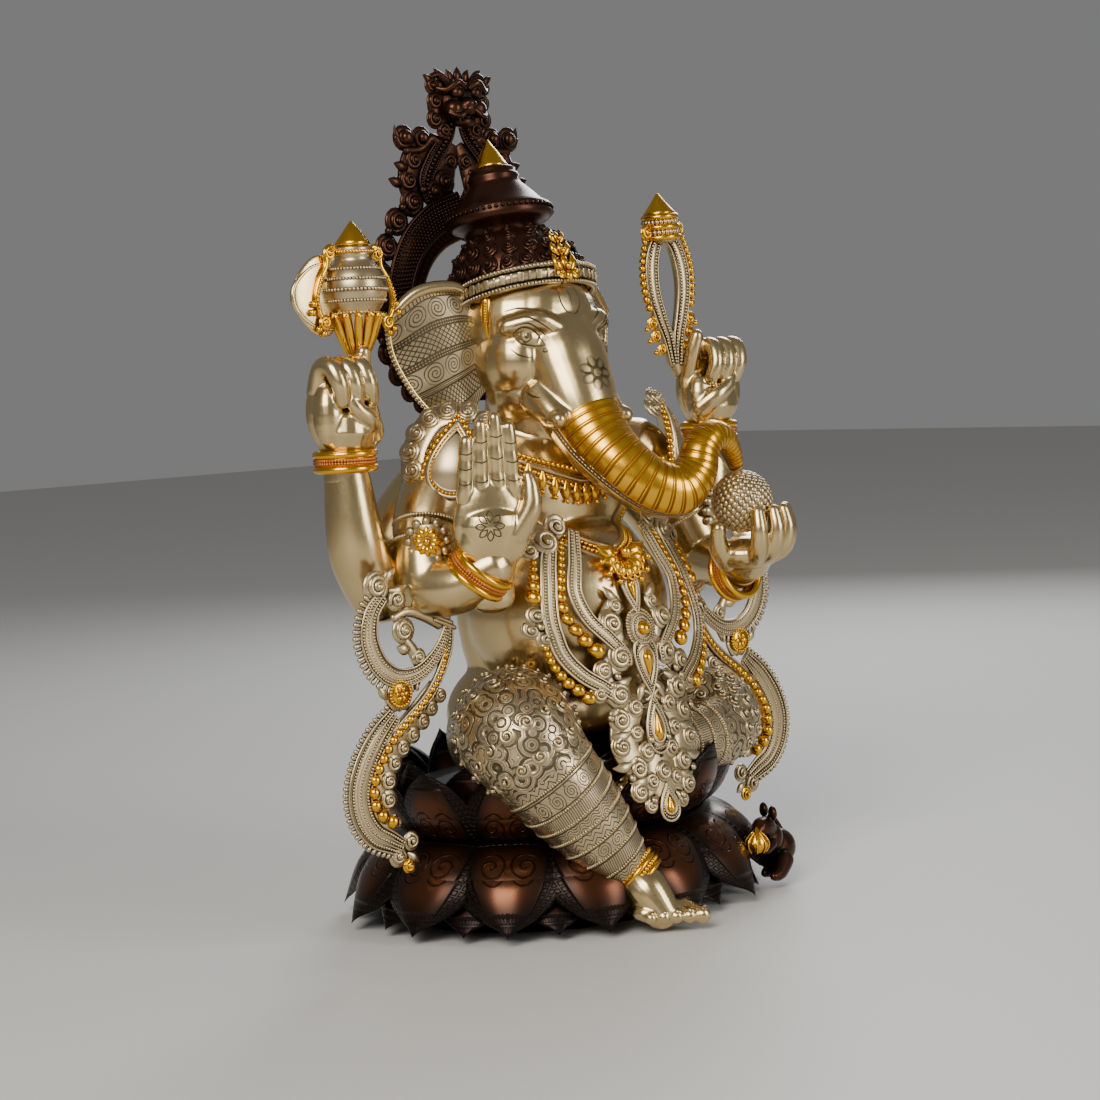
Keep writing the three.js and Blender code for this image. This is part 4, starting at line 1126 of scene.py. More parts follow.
def halo_side(bm):
    bar(bm, FIELD, flat=0.22, sides=14, count=70)
    bar(bm, [(*p[:2], 1.3) for p in beside(FIELD, -0.95)], -1.8, count=70)
    bar(bm, [(*p[:2], 1.2) for p in beside(FIELD, 0.72)], -1.8, count=70)
    beads_along(bm, in_plane(beside(FIELD, -0.78), -2.2), 1.0, spacing=1.1)
    teeth(bm, FIELD, 0.95, 2.6, 4.2)
    for k in range(7):
        beads_along(bm, in_plane(beside(FIELD, -0.55 + 0.18 * k), -1.9), 1.1, spacing=1.25)
    bar(bm, [(*p[:2], 6.5) for p in beside(FIELD, 1.15)], 0.8, flat=0.3, sides=12, count=60)
    for k, (x, z) in enumerate(((-22, 456), (-39, 449), (-52, 437), (-61, 421), (-66.5, 404),
                                (-68.5, 387), (-68.5, 370),
                                (-65, 354), (-58, 340), (-49, 329), (-40, 321))):
        curl(bm, (x, z), 9.6 - 0.28 * k, 300 - 25 * min(k, 6), 1, 1.8)
    for at in ((-31, 457), (-48, 446), (-60, 431), (-67, 413), (-71, 396), (-72, 379), (-70, 362),
               (-63, 346)):
        bead(bm, (at[0], -1.5, at[1]), 2.8)
    ribbon(bm, MOUTH_STRAND, rails=(-0.9, -0.3, 0.3, 0.9), ropes=(-0.6, 0.6), thick=4)
    beads_along(bm, in_plane(beside(MOUTH_STRAND, 0.0), -3.2), 1.5, 1.2, spacing=1.1)
    bar(bm, [(-2, 486, 4), (-10, 472, 9), (-15, 458, 11), (-8, 448, 8)], 1, flat=0.2, sides=10)
    bar(bm, [(-22, 487, 7), (-34, 478, 10), (-40, 462, 9), (-36, 450, 7)], 1, flat=0.2, sides=10)
    curl(bm, (-13, 462), 9.4, 60, 1, 1.8)
    curl(bm, (-6, 475), 6.0, 200, -1)
    curl(bm, (-29, 490), 7.6, 330, -1, 1.6)
    curl(bm, (-43, 490), 8.2, 180, 1, 1.6)
    bar(bm, [(-12, 484, 3.2), (-20, 490, 3.6), (-30, 483, 3.0), (-42, 482, 3.0)])
    orb(bm, (-42, -3, 490), (4.4, 3, 4.4))
    orb(bm, (-29, -3, 490), (3.8, 3, 3.8))
    curl(bm, (-36, 476), 7.6, 120, 1, 1.7)
    curl(bm, (-41, 463), 7.8, 120, 1, 1.7)
    leaf(bm, (-40, 470), (-52, 474), 7)
    leaf(bm, (-45, 460), (-57, 464), 7)
    leaf(bm, (-38, 482), (-50, 498), 7, bend=3)


halo_bm = bmesh.new()
both(halo_bm, halo_side)
bmesh.ops.translate(halo_bm, vec=(0, HALO_FRONT, 0), verts=halo_bm.verts)
halo = add_piece("halo_arch", halo_bm, dark_bronze, "halo_plate")

# %% [markdown]
# The lion mask is an ornament of Indian arches: bulging eyes, ridged brows that run into horns, a snub
# nose, round cheeks and curls for a mane. Soft lumps are melted together, and crisp lines laid on top.
# %% Lion mask
mask = bmesh.new()
orb(mask, (0, 62, 513), (15, 9, 14))
orb(mask, (0, 53, 509), (7, 6, 6))
orb(mask, (0, 50, 511), (4.4, 3.6, 3.2))
orb(mask, (0, 57, 500), (8, 6, 4.4))
for side in (-1, 1):
    orb(mask, (side * 9.5, 55, 508), (6.4, 6, 6))
    orb(mask, (side * 7.4, 54, 518), (4.6, 4.4, 4.2))
    sweep(mask, [(side * 2, 52, 521, 1.6), (side * 8, 51, 524.5, 2.2), (side * 15, 54, 520, 2.0),
                 (side * 20, 58, 521, 1.5)], sides=10)
    sweep(mask, [(side * 9, 60, 524, 3.2), (side * 15, 62, 530, 2.6), (side * 21, 63, 529, 1.8)],
          sides=10)
    sweep(mask, [(side * 3, 49, 507, 1.6), (side * 9, 49, 503, 1.8), (side * 15, 53, 505, 1.2)], sides=10)
add_piece("lion_mask", mask, dark_bronze, "lion_crest", melt=0.6, smooth=2)
mane = bmesh.new()


def mane_side(bm):
    bar(bm, [(-12, 524, 6), (-17, 512, 8), (-14, 500, 7)], 1, flat=0.3, sides=10)
    curl(bm, (-19, 513), 6.6, 60, 1)
    curl(bm, (-20, 502), 6.4, 120, 1)
    curl(bm, (-13, 495), 5.8, 180, -1)
    curl(bm, (-21, 523), 5.6, 0, 1)
    leaf(bm, (-6, 524), (-9, 534), 6, bend=-1)
    leaf(bm, (-12, 524), (-19, 534), 6, bend=-1)
    leaf(bm, (-20, 525), (-28, 530), 5)
    bead(bm, (-7.4, -7.6, 518.4), 2.2)
    bead(bm, (-10, -9.5, 506), 1.3)


both(mane, mane_side)
leaf(mane, (0, 524), (0, 535.6), 7)
for k in range(-3, 4):
    bar(mane, [(k * 2.1, 502.5, 1.0), (k * 2.1, 499, 0.7)], -8.5, flat=1, count=4)
bmesh.ops.translate(mane, vec=(0, 62, 0), verts=mane.verts)
add_piece("lion_mane", mane, dark_bronze)

# %% [markdown]
# The ears are thin fans that sweep back from the temples. Each is a grid stretched between its four
# edges, given a thickness, with a rolled rim laid along its top. Bands of chased patterns cross it.
# %% Ears
EAR_TOP = [(-38, 6, 386), (-52, 14, 393), (-72, 24, 390), (-90, 31, 374)]
EAR_OUTER = [(-90, 31, 374), (-87, 31, 352), (-76, 26, 328), (-60, 19, 307)]
EAR_INNER = [(-38, 6, 386), (-35, 4, 368), (-34, 3, 350), (-33, 4, 330)]
EAR_FOOT = [(-33, 4, 330), (-40, 8, 318), (-50, 14, 311), (-60, 19, 307)]
EAR_WIDE, EAR_TALL = 56.0, 70.0


def stacked(position, layers):
    """Patterns one after another along a length, as (where it ends, height) pairs, with ruled borders."""
    height = layers[-1][1]
    for end, pattern in reversed(layers[:-1]):
        past = position.step(end - 0.05, end + 0.05)
        height = pattern * (1 - past) + height * past
        height = height * (position - end).math("ABSOLUTE").step(0.25, 0.6)
    return height


def ear_bands(shop):
    """From the rim down: hatching, scrolls, a dotted net, ruled lines, bigger scrolls, a net again."""
    u, v, _ = shop.split(shop.node("ShaderNodeUVMap", {}, {}))
    u, v = u * EAR_WIDE, v * EAR_TALL
    net_lines = grooves(u + v, 3.2, 0.16) * grooves(u - v, 3.2, 0.16)
    return stacked(v, [(6, grooves(u, 2.0, 0.2)), (18, scrolls(shop, u, v - 6, 12.0)),
                       (21, dots(shop, u, v, 1.5)),
                       (33, net_lines), (36, dots(shop, u, v, 1.5)), (48, scrolls(shop, u, v, 12.0)),
                       (51, grooves(v, 1.0, 0.25)), (62, net_lines), (EAR_TALL, grooves(u, 2.0, 0.2))])


ear_brass = metal("ear_brass", rgb(0.66, 0.54, 0.33), SOOT, ear_bands, cut_mm=0.6, roughness=0.33,
                  reach_mm=4)


def ear_side(bm):
    fan = bmesh.new()
    fan.loops.layers.uv.verify()
    grid = 36
    edges = [smooth_path(points, grid) for points in (EAR_TOP, EAR_FOOT, EAR_INNER, EAR_OUTER)]
    corners = [edges[0][0], edges[0][-1], edges[1][0], edges[1][-1]]
    bmesh.ops.create_grid(fan, x_segments=grid, y_segments=grid, size=1.0, calc_uvs=True)
    for v in fan.verts:
        i, j = round((v.co.x + 1) / 2 * grid), round((v.co.y + 1) / 2 * grid)
        a, b = i / grid, j / grid
        flat_spot = (corners[0] * (1 - a) * (1 - b) + corners[1] * a * (1 - b)
                     + corners[2] * (1 - a) * b + corners[3] * a * b)
        spot = edges[0][i] * (1 - b) + edges[1][i] * b + edges[2][j] * (1 - a) + edges[3][j] * a - flat_spot
        wave = 5 * math.sin(math.pi * a) * math.sin(math.pi * min(b * 1.2,
                                                                  1)) - 2.5 * math.sin(math.pi * 2 * a)
        v.co = spot + Vector((0.35, -0.94, 0)) * wave
    bmesh.ops.recalc_face_normals(fan, faces=fan.faces)
    bmesh.ops.solidify(fan, geom=fan.faces[:], thickness=3.4)
    pour(bm, fan)


ears_bm = bmesh.new()
both(ears_bm, ear_side)
ears = add_piece("ears", ears_bm, ear_brass, ["right_ear", "left_ear"], "chased_brass")
rims_bm, ear_gold_bm = bmesh.new(), bmesh.new()


def ear_rims(bm):
    sweep(bm, [(*EAR_TOP[0], 3.0), (*EAR_TOP[1], 3.8), (*EAR_TOP[2], 4.0), (*EAR_TOP[3], 2.6)], sides=14)
    sweep(bm, [(*p, 1.5) for p in EAR_OUTER], sides=8)
    beads_along(bm, [Vector(p) + Vector((-1.5, 0, 0)) for p in EAR_OUTER], 1.4, spacing=1.0)


def ear_gold(bm):
    orb(bm, (-39, 2, 386), (5.5, 4.5, 5.0), sides=16)
    sweep(bm, [(-40, -5, 383, 3.6), (-41, -6, 370, 3.6), (-37, -5, 350, 3.0), (-33, -5, 338, 2.2)],
          sides=12)
    sweep(bm, [(-33, -6, 338, 3.4), (-32.5, -6, 334, 3.8), (-32, -6, 329, 2.0)], sides=12)
    for dx in (-2.6, 2.6):
        beads_along(bm, [(-41 + dx, -8, 382), (-42 + dx, -9, 370), (-38 + dx, -8, 350)], 0.9, 0.7)


both(rims_bm, ear_rims)
both(ear_gold_bm, ear_gold)
add_piece("ear_rims", rims_bm, satin_brass)
ear_bars = add_piece("ear_bars", ear_gold_bm, gold_lacquer, ["right_ear_drop", "left_ear_drop"])

# %% [markdown]
# The crown band sits where the head meets the hair. It is a tilted hoop: a smooth rail, a row of square
# studs and a rope. The hair above it is a dome of raised swirls, and the jewel is a stack of gold leaves.
# %% Crown band and jewel
BAND_AT, BAND_X, BAND_Y, BAND_DROP = Vector((0, 3, 389)), 45.5, 35.0, 20.0


def on_band(turn, grow=0.0, up=0.0):
    """A point on the hoop: it dips towards the forehead and rises a little over the brow."""
    s, c = math.sin(turn), math.cos(turn)
    return BAND_AT + Vector(((BAND_X + grow) * s, -(BAND_Y + grow) * c, up + BAND_DROP * 0.5 * c))


band_bm = bmesh.new()
for up, grow, radius in ((-5.6, 0.4, 1.7), (5.0, 0.8, 1.7), (-0.5, -1.4, 4.2)):
    sweep(band_bm, [(*on_band(TAU * k / 24, grow, up), radius) for k in range(25)], sides=10, count=96,
          round_ends=False)
beads_along(band_bm, [on_band(TAU * k / 24, 2.2, -5.6) for k in range(25)], 1.15)
beads_along(band_bm, [on_band(TAU * k / 24, 2.2, 5.2) for k in range(25)], 1.25)
for k in range(48):
    turn = TAU * k / 48
    size = Matrix.Diagonal((3.8 if k % 2 else 1.3, 1.6, 5.6, 1))
    m = Matrix.Translation(on_band(turn, 2.6, -0.4)) @ Matrix.Rotation(turn, 4, "Z") @ size
    stud = bmesh.new()
    bmesh.ops.create_cube(stud, size=1.0)
    bmesh.ops.bevel(stud, geom=stud.edges[:], offset=0.14, segments=2, affect="EDGES", profile=0.5,
                    material=-1)
    pour(band_bm, stud, m)
band = add_piece("crown_hoop", band_bm, chased_brass, "crown_band")
hair_bm = bmesh.new()


def upright(at, out, spin=0.0):
    """A matrix that lays a flat drawing on a surface, facing out of it."""
    return stand(at, towards=out, spin=spin) @ Matrix.Rotation(math.radians(-90), 4, "X")


def hair_curl(turn, rise, size, spin):
    """One swirl of hair on the dome, drawn flat and stood on the surface."""
    far = 43.0 * math.cos(rise) ** 0.8
    local = Vector((far * math.sin(turn), DOME_BACK - far * DOME_FLAT * math.cos(turn),
                    9 + 36 * math.sin(rise)))
    at = lean @ local
    out = (at - (lean @ Vector((0, 0, 4)))).normalized()
    swirl = bmesh.new()
    curl(swirl, (0, 0), size, math.degrees(spin), 1, 1.8)
    leaf(swirl, (size * 0.8, 0), (size * 1.9, size * 0.9), size * 0.8, bend=2)
    pour(hair_bm, swirl, upright(at + out * 1.1, out))


for row, (count, rise, size) in enumerate(((22, -0.02, 5.8), (21, 0.27, 5.8), (18, 0.56, 5.6),
                                           (14, 0.85, 5.2), (9, 1.13, 4.8))):
    for k in range(count):
        hair_curl(TAU * (k + row * 0.5) / count, rise, size, 1.7 * k + row)
hair = add_piece("crown_hair", hair_bm, dark_bronze)
jewel_bm = bmesh.new()
for at, wide, tall in (((0, 0), 12, 15), ((0, 10), 10, 11), ((0, 18), 7.5, 9)):
    for side in (-1, 0, 1):
        leaf(jewel_bm, (side * wide * 0.25, at[1] - tall * 0.3), (side * wide * 0.62, at[1] + tall * 0.5),
             wide * 0.5, bend=-side * 1.2, flat=0.8)
    bead(jewel_bm, (0, -2.6, at[1] - tall * 0.15), wide * 0.18)
curl(jewel_bm, (-5.5, -6), 3.6, 90, 1, y=-1)
curl(jewel_bm, (5.5, -6), 3.6, 90, -1, y=-1)
leaf(jewel_bm, (0, -4), (0, -12), 5.5, y=-1, flat=0.8)
jewel_bm.transform(Matrix.Translation((0, -35, 403)) @ Matrix.Rotation(math.radians(-22), 4, "X"))
jewel = add_piece("brow_jewel", jewel_bm, gold_lacquer, "forehead_jewel")

# %% [markdown]
# The face is smooth metal with a few lines cut by a graver: three arcs for each brow, an almond eye, a
# trident mark and a flower on the trunk. Each line is drawn in front of the face, pushed back along one
# direction until it meets the skin, and left there as a thin dark strand with its ends drawn out.
# %% Face lines
face_skin = skin_of(head, trunk)
GLANCE = Vector((0.63, 0.77, -0.05))
lines_bm = bmesh.new()


def graved(bm, points, width, sides=(-1, 1), glance=GLANCE, y=-45):
    """A line cut into the face through (x, z) points, for the right side and mirrored for the left."""
    for side in sides:
        way = Vector((-side * glance.x, glance.y, glance.z))
        line = smooth_path([(-side * x, y, z) for x, z in points], 8 * len(points))
        last = len(line) - 1
        stations = []
        for i, p in enumerate(cast_on(face_skin, line, way, -width * 0.25)):
            stations.append((*p, width * (0.35 + 0.65 * math.sin(math.pi * i / last))))
        sweep(bm, stations, sides=6, count=len(stations) * 2)


graved(lines_bm, [(-58.7, 377.2), (-46.2, 378.4), (-30.5, 375.5), (-15.0, 367.4)], 0.75)
graved(lines_bm, [(-55.2, 371.6), (-38.8, 371.5), (-20.3, 361.8)], 0.7)
graved(lines_bm, [(-53.2, 366.8), (-39.0, 367.9), (-24.5, 358.5)], 0.65)
graved(lines_bm, [(-53.0, 362.7), (-45.3, 366.2), (-36.0, 363.6), (-27.4, 354.0)], 0.8)
graved(lines_bm, [(-27.4, 354.0), (-38.2, 354.6), (-48.3, 357.4), (-53.0, 362.7)], 0.75)
graved(lines_bm, [(-46.0, 364.0), (-46.5, 360.0), (-43.0, 357.2), (-38.6, 359.0), (-38.6, 363.0)], 0.6)
graved(lines_bm, [(-44.0, 362.0), (-42.0, 359.6), (-40.6, 362.4)], 0.7)
graved(lines_bm, [(-28.5, 352.6), (-26.0, 350.0), (-29.5, 350.4), (-28.5, 352.6)], 0.5)
graved(lines_bm, [(-55.6, 354.0), (-48.6, 349.4), (-38.3, 347.0)], 0.55)
graved(lines_bm, [(-44.4, 326.4), (-39.8, 323.4), (-33.6, 321.9)], 0.8)
MARK_GLANCE = Vector((0, 1, 0))
graved(lines_bm, [(-7, 389), (-7.5, 380), (-4.5, 374), (0, 372)], 0.65, glance=MARK_GLANCE)
graved(lines_bm, [(0, 387), (0, 377)], 0.7, sides=(-1,), glance=MARK_GLANCE)
FLOWER_AT = (0, 330)
for k in range(7):
    turn = TAU * k / 7
    for far, width in ((1.0, 0.6), (0.72, 0.45)):
        loop = []
        for j in range(9):
            t = TAU * j / 8
            petal_x = 7.6 + 4.4 * far * math.cos(t)
            petal_z = 3.3 * far * math.sin(t)
            loop.append((FLOWER_AT[0] + petal_x * math.cos(turn) - petal_z * math.sin(turn),
                         FLOWER_AT[1] + petal_x * math.sin(turn) + petal_z * math.cos(turn)))
        graved(lines_bm, loop, width, sides=(-1,), glance=Vector((0, 1, -0.35)))
ring_line = [(3.2 * math.sin(TAU * k / 12), FLOWER_AT[1] + 3.2 * math.cos(TAU * k / 12)) for k in range(13)]
graved(lines_bm, ring_line, 0.5, sides=(-1,), glance=Vector((0, 1, -0.35)))
palm_skin = skin_of(palm)
palm_face = palm_place.to_3x3() @ Vector((0, 1, 0))


def palm_line(points, thick=0.42):
    """A thin dark line laid on the palm, drawn in the palm's own plane."""
    path = [palm_place @ Vector((x, -6, z)) for x, z in points]
    path = [Vector(p[:3]) for p in smooth_path(path, 4 * len(path))]
    sweep(lines_bm, [(*p[:3], thick) for p in cast_on(palm_skin, path, palm_face, 0.05)], sides=6)


for root, length in ((-15.6, 30), (-5.4, 39), (4.8, 43), (14.6, 37)):
    for share in (0.12, 0.42, 0.72):
        x, z = root * (1 - 0.14 * share), 52 + length * share
        palm_line([(x - 3.4, z - 0.5), (x, z - 1.4), (x + 3.4, z - 0.5)])
for k in range(8):
    palm_line([(-3 + reach * math.cos(TAU * (k + turn) / 8), 30 + reach * math.sin(TAU * (k + turn) / 8))
               for reach, turn in ((2.6, 0), (6.0, -0.38), (8.6, 0), (6.0, 0.38), (2.6, 0))])
patina_lines = metal("patina_lines", rgb(0.10, 0.075, 0.04), SOOT, roughness=0.5)
face_lines = add_piece("face_lines", lines_bm, patina_lines, slot="satin_brass")
boss_bm = bmesh.new()


def tusk_boss(bm):
    """The stump of a tusk: a round boss in a ring, at the corner of the mouth."""
    sweep(bm, [(-20, -36, 312, 7.5), (-25, -48, 309, 7.0), (-27, -53, 308, 5.6)], sides=16)
    sweep(bm, [(-22, -41, 311, 8.6), (-22.8, -43, 310.6, 8.6)], sides=16, count=3)


both(boss_bm, tusk_boss)
add_piece("tusk_bosses", boss_bm, satin_brass, "left_tusk")

# %% [markdown]
# The right leg is folded at the knee and comes down in front. Its cloth is thin and clings, so the leg
# is a plain limb and the bands of chasing follow it: every corner knows how far along the leg it lies.
# %% Legs
RIGHT_LEG = [(-44, 0, 112, 34), (-66, -42, 122, 37), (-82, -66, 121, 36), (-72, -80, 98, 31),
             (-55, -88, 73, 27),
             (-39, -97, 48, 20), (-29, -103, 34, 14)]
LEFT_LEG = [(46, -8, 112, 30), (80, -34, 114, 30), (99, -50, 108, 27), (76, -64, 102, 23),
            (36, -72, 100, 18),
            (20, -74, 97, 13)]
CLOTH_TOP = 104.0


def leg_cloth(shop):
    """Curling leaves over the thigh and knee, then the rings of the shin."""
    u, v = shop.attribute("along"), shop.attribute("around")
    place = shop.place()
    drift = shop.noise(place, 0.06, 1.0)
    cell = shop.cells(place, 0.085)
    leaves = (cell * 3.4 + drift * 0.8).fold().step(0.06, 0.22) * (cell * 10.2).fold().step(0.02, 0.15)
    past = u.step(CLOTH_TOP - 0.3, CLOTH_TOP + 0.3)
    return leaves * (1 - past) + cloth_bands(shop) * past


cloth_brass = metal("cloth_brass", rgb(0.62, 0.50, 0.31), SOOT, leg_cloth, cut_mm=0.8, roughness=0.34,
                    reach_mm=4)


def leg(name, node, stations):
    bm = bmesh.new()
    sweep(bm, stations, sides=48, count=60)
    made = add_piece(name, bm, cloth_brass, node, "chased_brass", melt=1.1, smooth=3)
    mark_along(made, stations)
    return made


right_leg = leg("right_leg_cloth", "right_leg", RIGHT_LEG)
left_leg = leg("left_leg_cloth", "left_leg", LEFT_LEG)


def leg_relief(bm, stations, leaf_from, leaf_to, ropes):
    """Curls raised on the knee, and a rope of grains at each border of the shin."""
    path = [Vector(p) for p in smooth_path(stations, 120)]
    frames = frames_along([Vector(p[:3]) for p in path], Vector((0.2, -0.7, 0.68)).normalized())
    reach = [0.0]
    for a, b in zip(path, path[1:]):
        reach.append(reach[-1] + (Vector(b[:3]) - Vector(a[:3])).length)
    row, due = 0, leaf_from
    for p, (tangent, side, up), far in zip(path, frames, reach):
        if due <= far < leaf_to:
            count = 15
            for k in range(count):
                turn = TAU * (k + 0.5 * (row % 2)) / count
                out = side * math.cos(turn) + up * math.sin(turn)
                mark = bmesh.new()
                curl(mark, (0, 0), 5.8, 50 * k, 1 if k % 2 else -1, 1.5, flat=0.6)
                pour(bm, mark, upright(Vector(p[:3]) + out * (p[3] - 0.9), out, 40 * k))
            row, due = row + 1, due + 9.5
    for far in ropes:
        k = min(range(len(path)), key=lambda i: abs(reach[i] - far))
        tangent, side, up = frames[k]
        loop = [Vector(path[k][:3])
                + (side * math.cos(TAU * j / 32) + up * math.sin(TAU * j / 32)) * (path[k][3] + 0.1)
                for j in range(33)]
        beads_along(bm, loop, 0.95, spacing=0.9)


relief_bm = bmesh.new()
leg_relief(relief_bm, RIGHT_LEG, 44.0, 98.0, [CLOTH_TOP + 5.5 + 11 * k for k in range(7)])
leg_relief(relief_bm, LEFT_LEG, 40.0, 92.0, [CLOTH_TOP + 5.5 + 11 * k for k in range(5)])
add_piece("leg_relief", relief_bm, chased_brass)

# %% [markdown]
# The feet are bare. Toes are short swellings in a row with a nail on each, the first one the largest. A
# rope anklet of four gold rings, grained and smooth by turns, closes the cloth.
# %% Feet
def foot(bm, heel, instep, ball_at_toes, spread, toe_way, width):
    sweep(bm, [(*heel, width * 0.95), (*instep, width * 1.05), (*ball_at_toes, width * 0.86)], sides=24)
    for k in range(5):
        root = Vector(ball_at_toes) + Vector(spread) * (k - 2)
        size = (5.6, 4.8, 4.5, 4.2, 3.8)[k]
        tip = root + Vector(toe_way) * (1.0 - 0.09 * k)
        sweep(bm, [(*root, size * 1.05), (*root.lerp(tip, 0.55), size * 0.92), (*tip, size)], sides=14,
              count=12)


TOE_ROOT, TOE_STEP, TOE_WAY = Vector((-25, -121.5, 13)), Vector((-7.0, 2.2, 0)), Vector((3.5, -13, -3.5))
foot_bm = bmesh.new()
foot(foot_bm, (-29, -104, 31), (-28, -113, 24), TOE_ROOT, TOE_STEP, TOE_WAY, 13.5)
orb(foot_bm, TOE_ROOT, (18, 10, 7.5), (Vector((0, 0, 1)), -16), sides=24)
right_foot = add_piece("right_foot_skin", foot_bm, satin_brass, "right_foot", melt=0.65, smooth=3)
nails_bm = bmesh.new()
for k in range(5):
    at = TOE_ROOT + TOE_STEP * (k - 2) + TOE_WAY * (1.0 - 0.09 * k) + Vector((0.4, -1.6, 4.0 - 0.3 * k))
    orb(nails_bm, at, (2.9 - 0.25 * k, 2.8 - 0.2 * k, 1.4), (Vector((1, 0, 0)), 28), sides=12)
add_piece("toe_nails", nails_bm, satin_brass)
foot_bm = bmesh.new()
foot(foot_bm, (24, -73, 96), (8, -78, 93), (-6, -80, 90), (1.6, 1.6, 4.0), (-10, -3, 0), 11)
left_foot = add_piece("left_foot_skin", foot_bm, satin_brass, "left_foot", melt=0.7, smooth=3)


def rope_ring(bm, at, way, radius, thick, grains=True):
    """A ring of round grains, or a smooth one, square to `way`."""
    m = stand(at, towards=way)
    loop = [m @ Vector((radius * math.cos(TAU * k / 20), radius * math.sin(TAU * k / 20),
                        0)) for k in range(21)]
    if grains:
        beads_along(bm, loop, thick, spacing=0.72)
    else:
        sweep(bm, [(*p, thick) for p in loop], sides=10, count=60)


anklet_bm = bmesh.new()
ANKLE_WAY = Vector((0.5, -0.55, -0.67))
for k in range(4):
    rope_ring(anklet_bm, Vector((-29, -102, 36)) + ANKLE_WAY * (2.9 * k), ANKLE_WAY, 15.6 - 0.3 * k, 1.7,
              k % 2 == 0)
anklet = add_piece("anklet_ropes", anklet_bm, gold_lacquer, "right_anklet")

# %% [markdown]
# The upper right hand holds the axe by its stem. A fluted calyx carries a pot-shaped socket with chased
# bands, a gold cone closes it, and gold scroll arms frame it on both sides of the crescent blade.
# %% Axe
AXE_FOOT = Vector((-134, 3, 340))
axe_stand = stand(AXE_FOOT, towards=(0.02, 0.02, 1))
pot_bm, axe_gold_bm, blade_bm = bmesh.new(), bmesh.new(), bmesh.new()
turned(pot_bm, axe_stand, [(0, 0), (4.4, 0), (5.2, 6), (5.6, 14), (8.6, 22), (11.4, 32), (12.4, 37),
                           (16.4, 43),
                           (19.0, 48), (19.4, 55), (18.2, 61), (14.6, 66), (11.6, 69), (10.8, 72),
                           (12.4, 73.4),
                           (10.8, 75), (12.6, 76.6), (10.6, 78), (0, 78.2)], 48)
for height, radius, grain in ((38.5, 12.9, 1.2), (45.5, 18.0, 1.1), (52, 19.6, 1.3), (58.5, 19.0, 1.1),
                              (64.5, 15.9, 1.1)):
    loop = [axe_stand @ Vector((radius * math.cos(TAU * k / 20), radius * math.sin(TAU * k / 20), height))
            for k in range(21)]
    beads_along(pot_bm, loop, grain, spacing=0.9)
for k in range(12):
    turn = TAU * k / 12
    spoke = Vector((math.cos(turn), math.sin(turn), 0))
    sweep(pot_bm, [(*(axe_stand @ (spoke * 4.6)), 1.0), (*(axe_stand @ (spoke * 5.6 + Vector((0, 0,
                                                                                              14)))),
                                                                                              1.2)],
                                                                                              sides=6,
          count=4)
    sweep(axe_gold_bm, [(*(axe_stand @ (spoke * r + Vector((0, 0, z)))), w) for r, z, w in
                        ((6.0, 15, 1.6), (9.2, 23, 2.4), (12.2, 32, 2.6), (15.6, 37.5, 1.8),
                         (17.2, 36, 0.8))], sides=8,
          count=12)
turned(axe_gold_bm, axe_stand, [(0, 78.4), (10.2, 78.4), (10.6, 80), (10.0, 81.2), (5.0, 88), (0.8, 93.4),
                                (0, 93.6)], 40)
rope_ring(axe_gold_bm, axe_stand @ Vector((0, 0, 75)), (0, 0, 1), 12.2, 1.3)


def scroll_arm(bm, side):
    """A thin gold arm that curls at its top, bulges out and ends in three small balls."""
    arm_line = [(side * 11, 73, 1.2), (side * 15, 78, 1.8), (side * 20, 75, 2.0), (side * 20, 67, 1.9),
                (side * 25, 58, 2.2), (side * 28, 48, 2.0), (side * 26, 38, 1.8), (side * 21, 34, 1.6)]
    bar(bm, arm_line, flat=0.9, count=50)
    beads_along(bm, in_plane([(side * 24, 60), (side * 28, 48), (side * 26, 40)], -1.6), 1.1, spacing=1.1)
    curl(bm, (side * 17.5, 74), 4.6, 90, -side, y=-1)
    curl(bm, (side * 23, 33), 4.6, 200, side, y=-1)
    for dx, dz in ((30, 44), (31.5, 39), (27.5, 29), (24, 26.5)):
        bead(bm, (side * dx, -0.5, dz), 2.2)


arms_bm = bmesh.new()
scroll_arm(arms_bm, -1)
scroll_arm(arms_bm, 1)
pour(axe_gold_bm, arms_bm, axe_stand)
bar(blade_bm, [(-14, 66, 6), (-21, 62, 13), (-25, 49, 18.5), (-21, 36, 13), (-14, 32, 6)], 3, flat=0.10,
    sides=24)
bar(blade_bm, [(-15, 69, 1.2), (-29, 66, 1.4), (-40, 57, 1.5), (-43, 48, 1.5), (-39, 39, 1.5),
               (-28, 31, 1.4), (-15, 29, 1.2)],
    3, flat=1, count=40)
blade_bm.transform(axe_stand)
axe_pot = add_piece("axe_pot", pot_bm, chased_brass, "axe_socket")
axe_gold = add_piece("axe_gold", axe_gold_bm, gold_lacquer, "axe_finial")
axe_blade = add_piece("axe_crescent", blade_bm, satin_brass, "axe_blade")

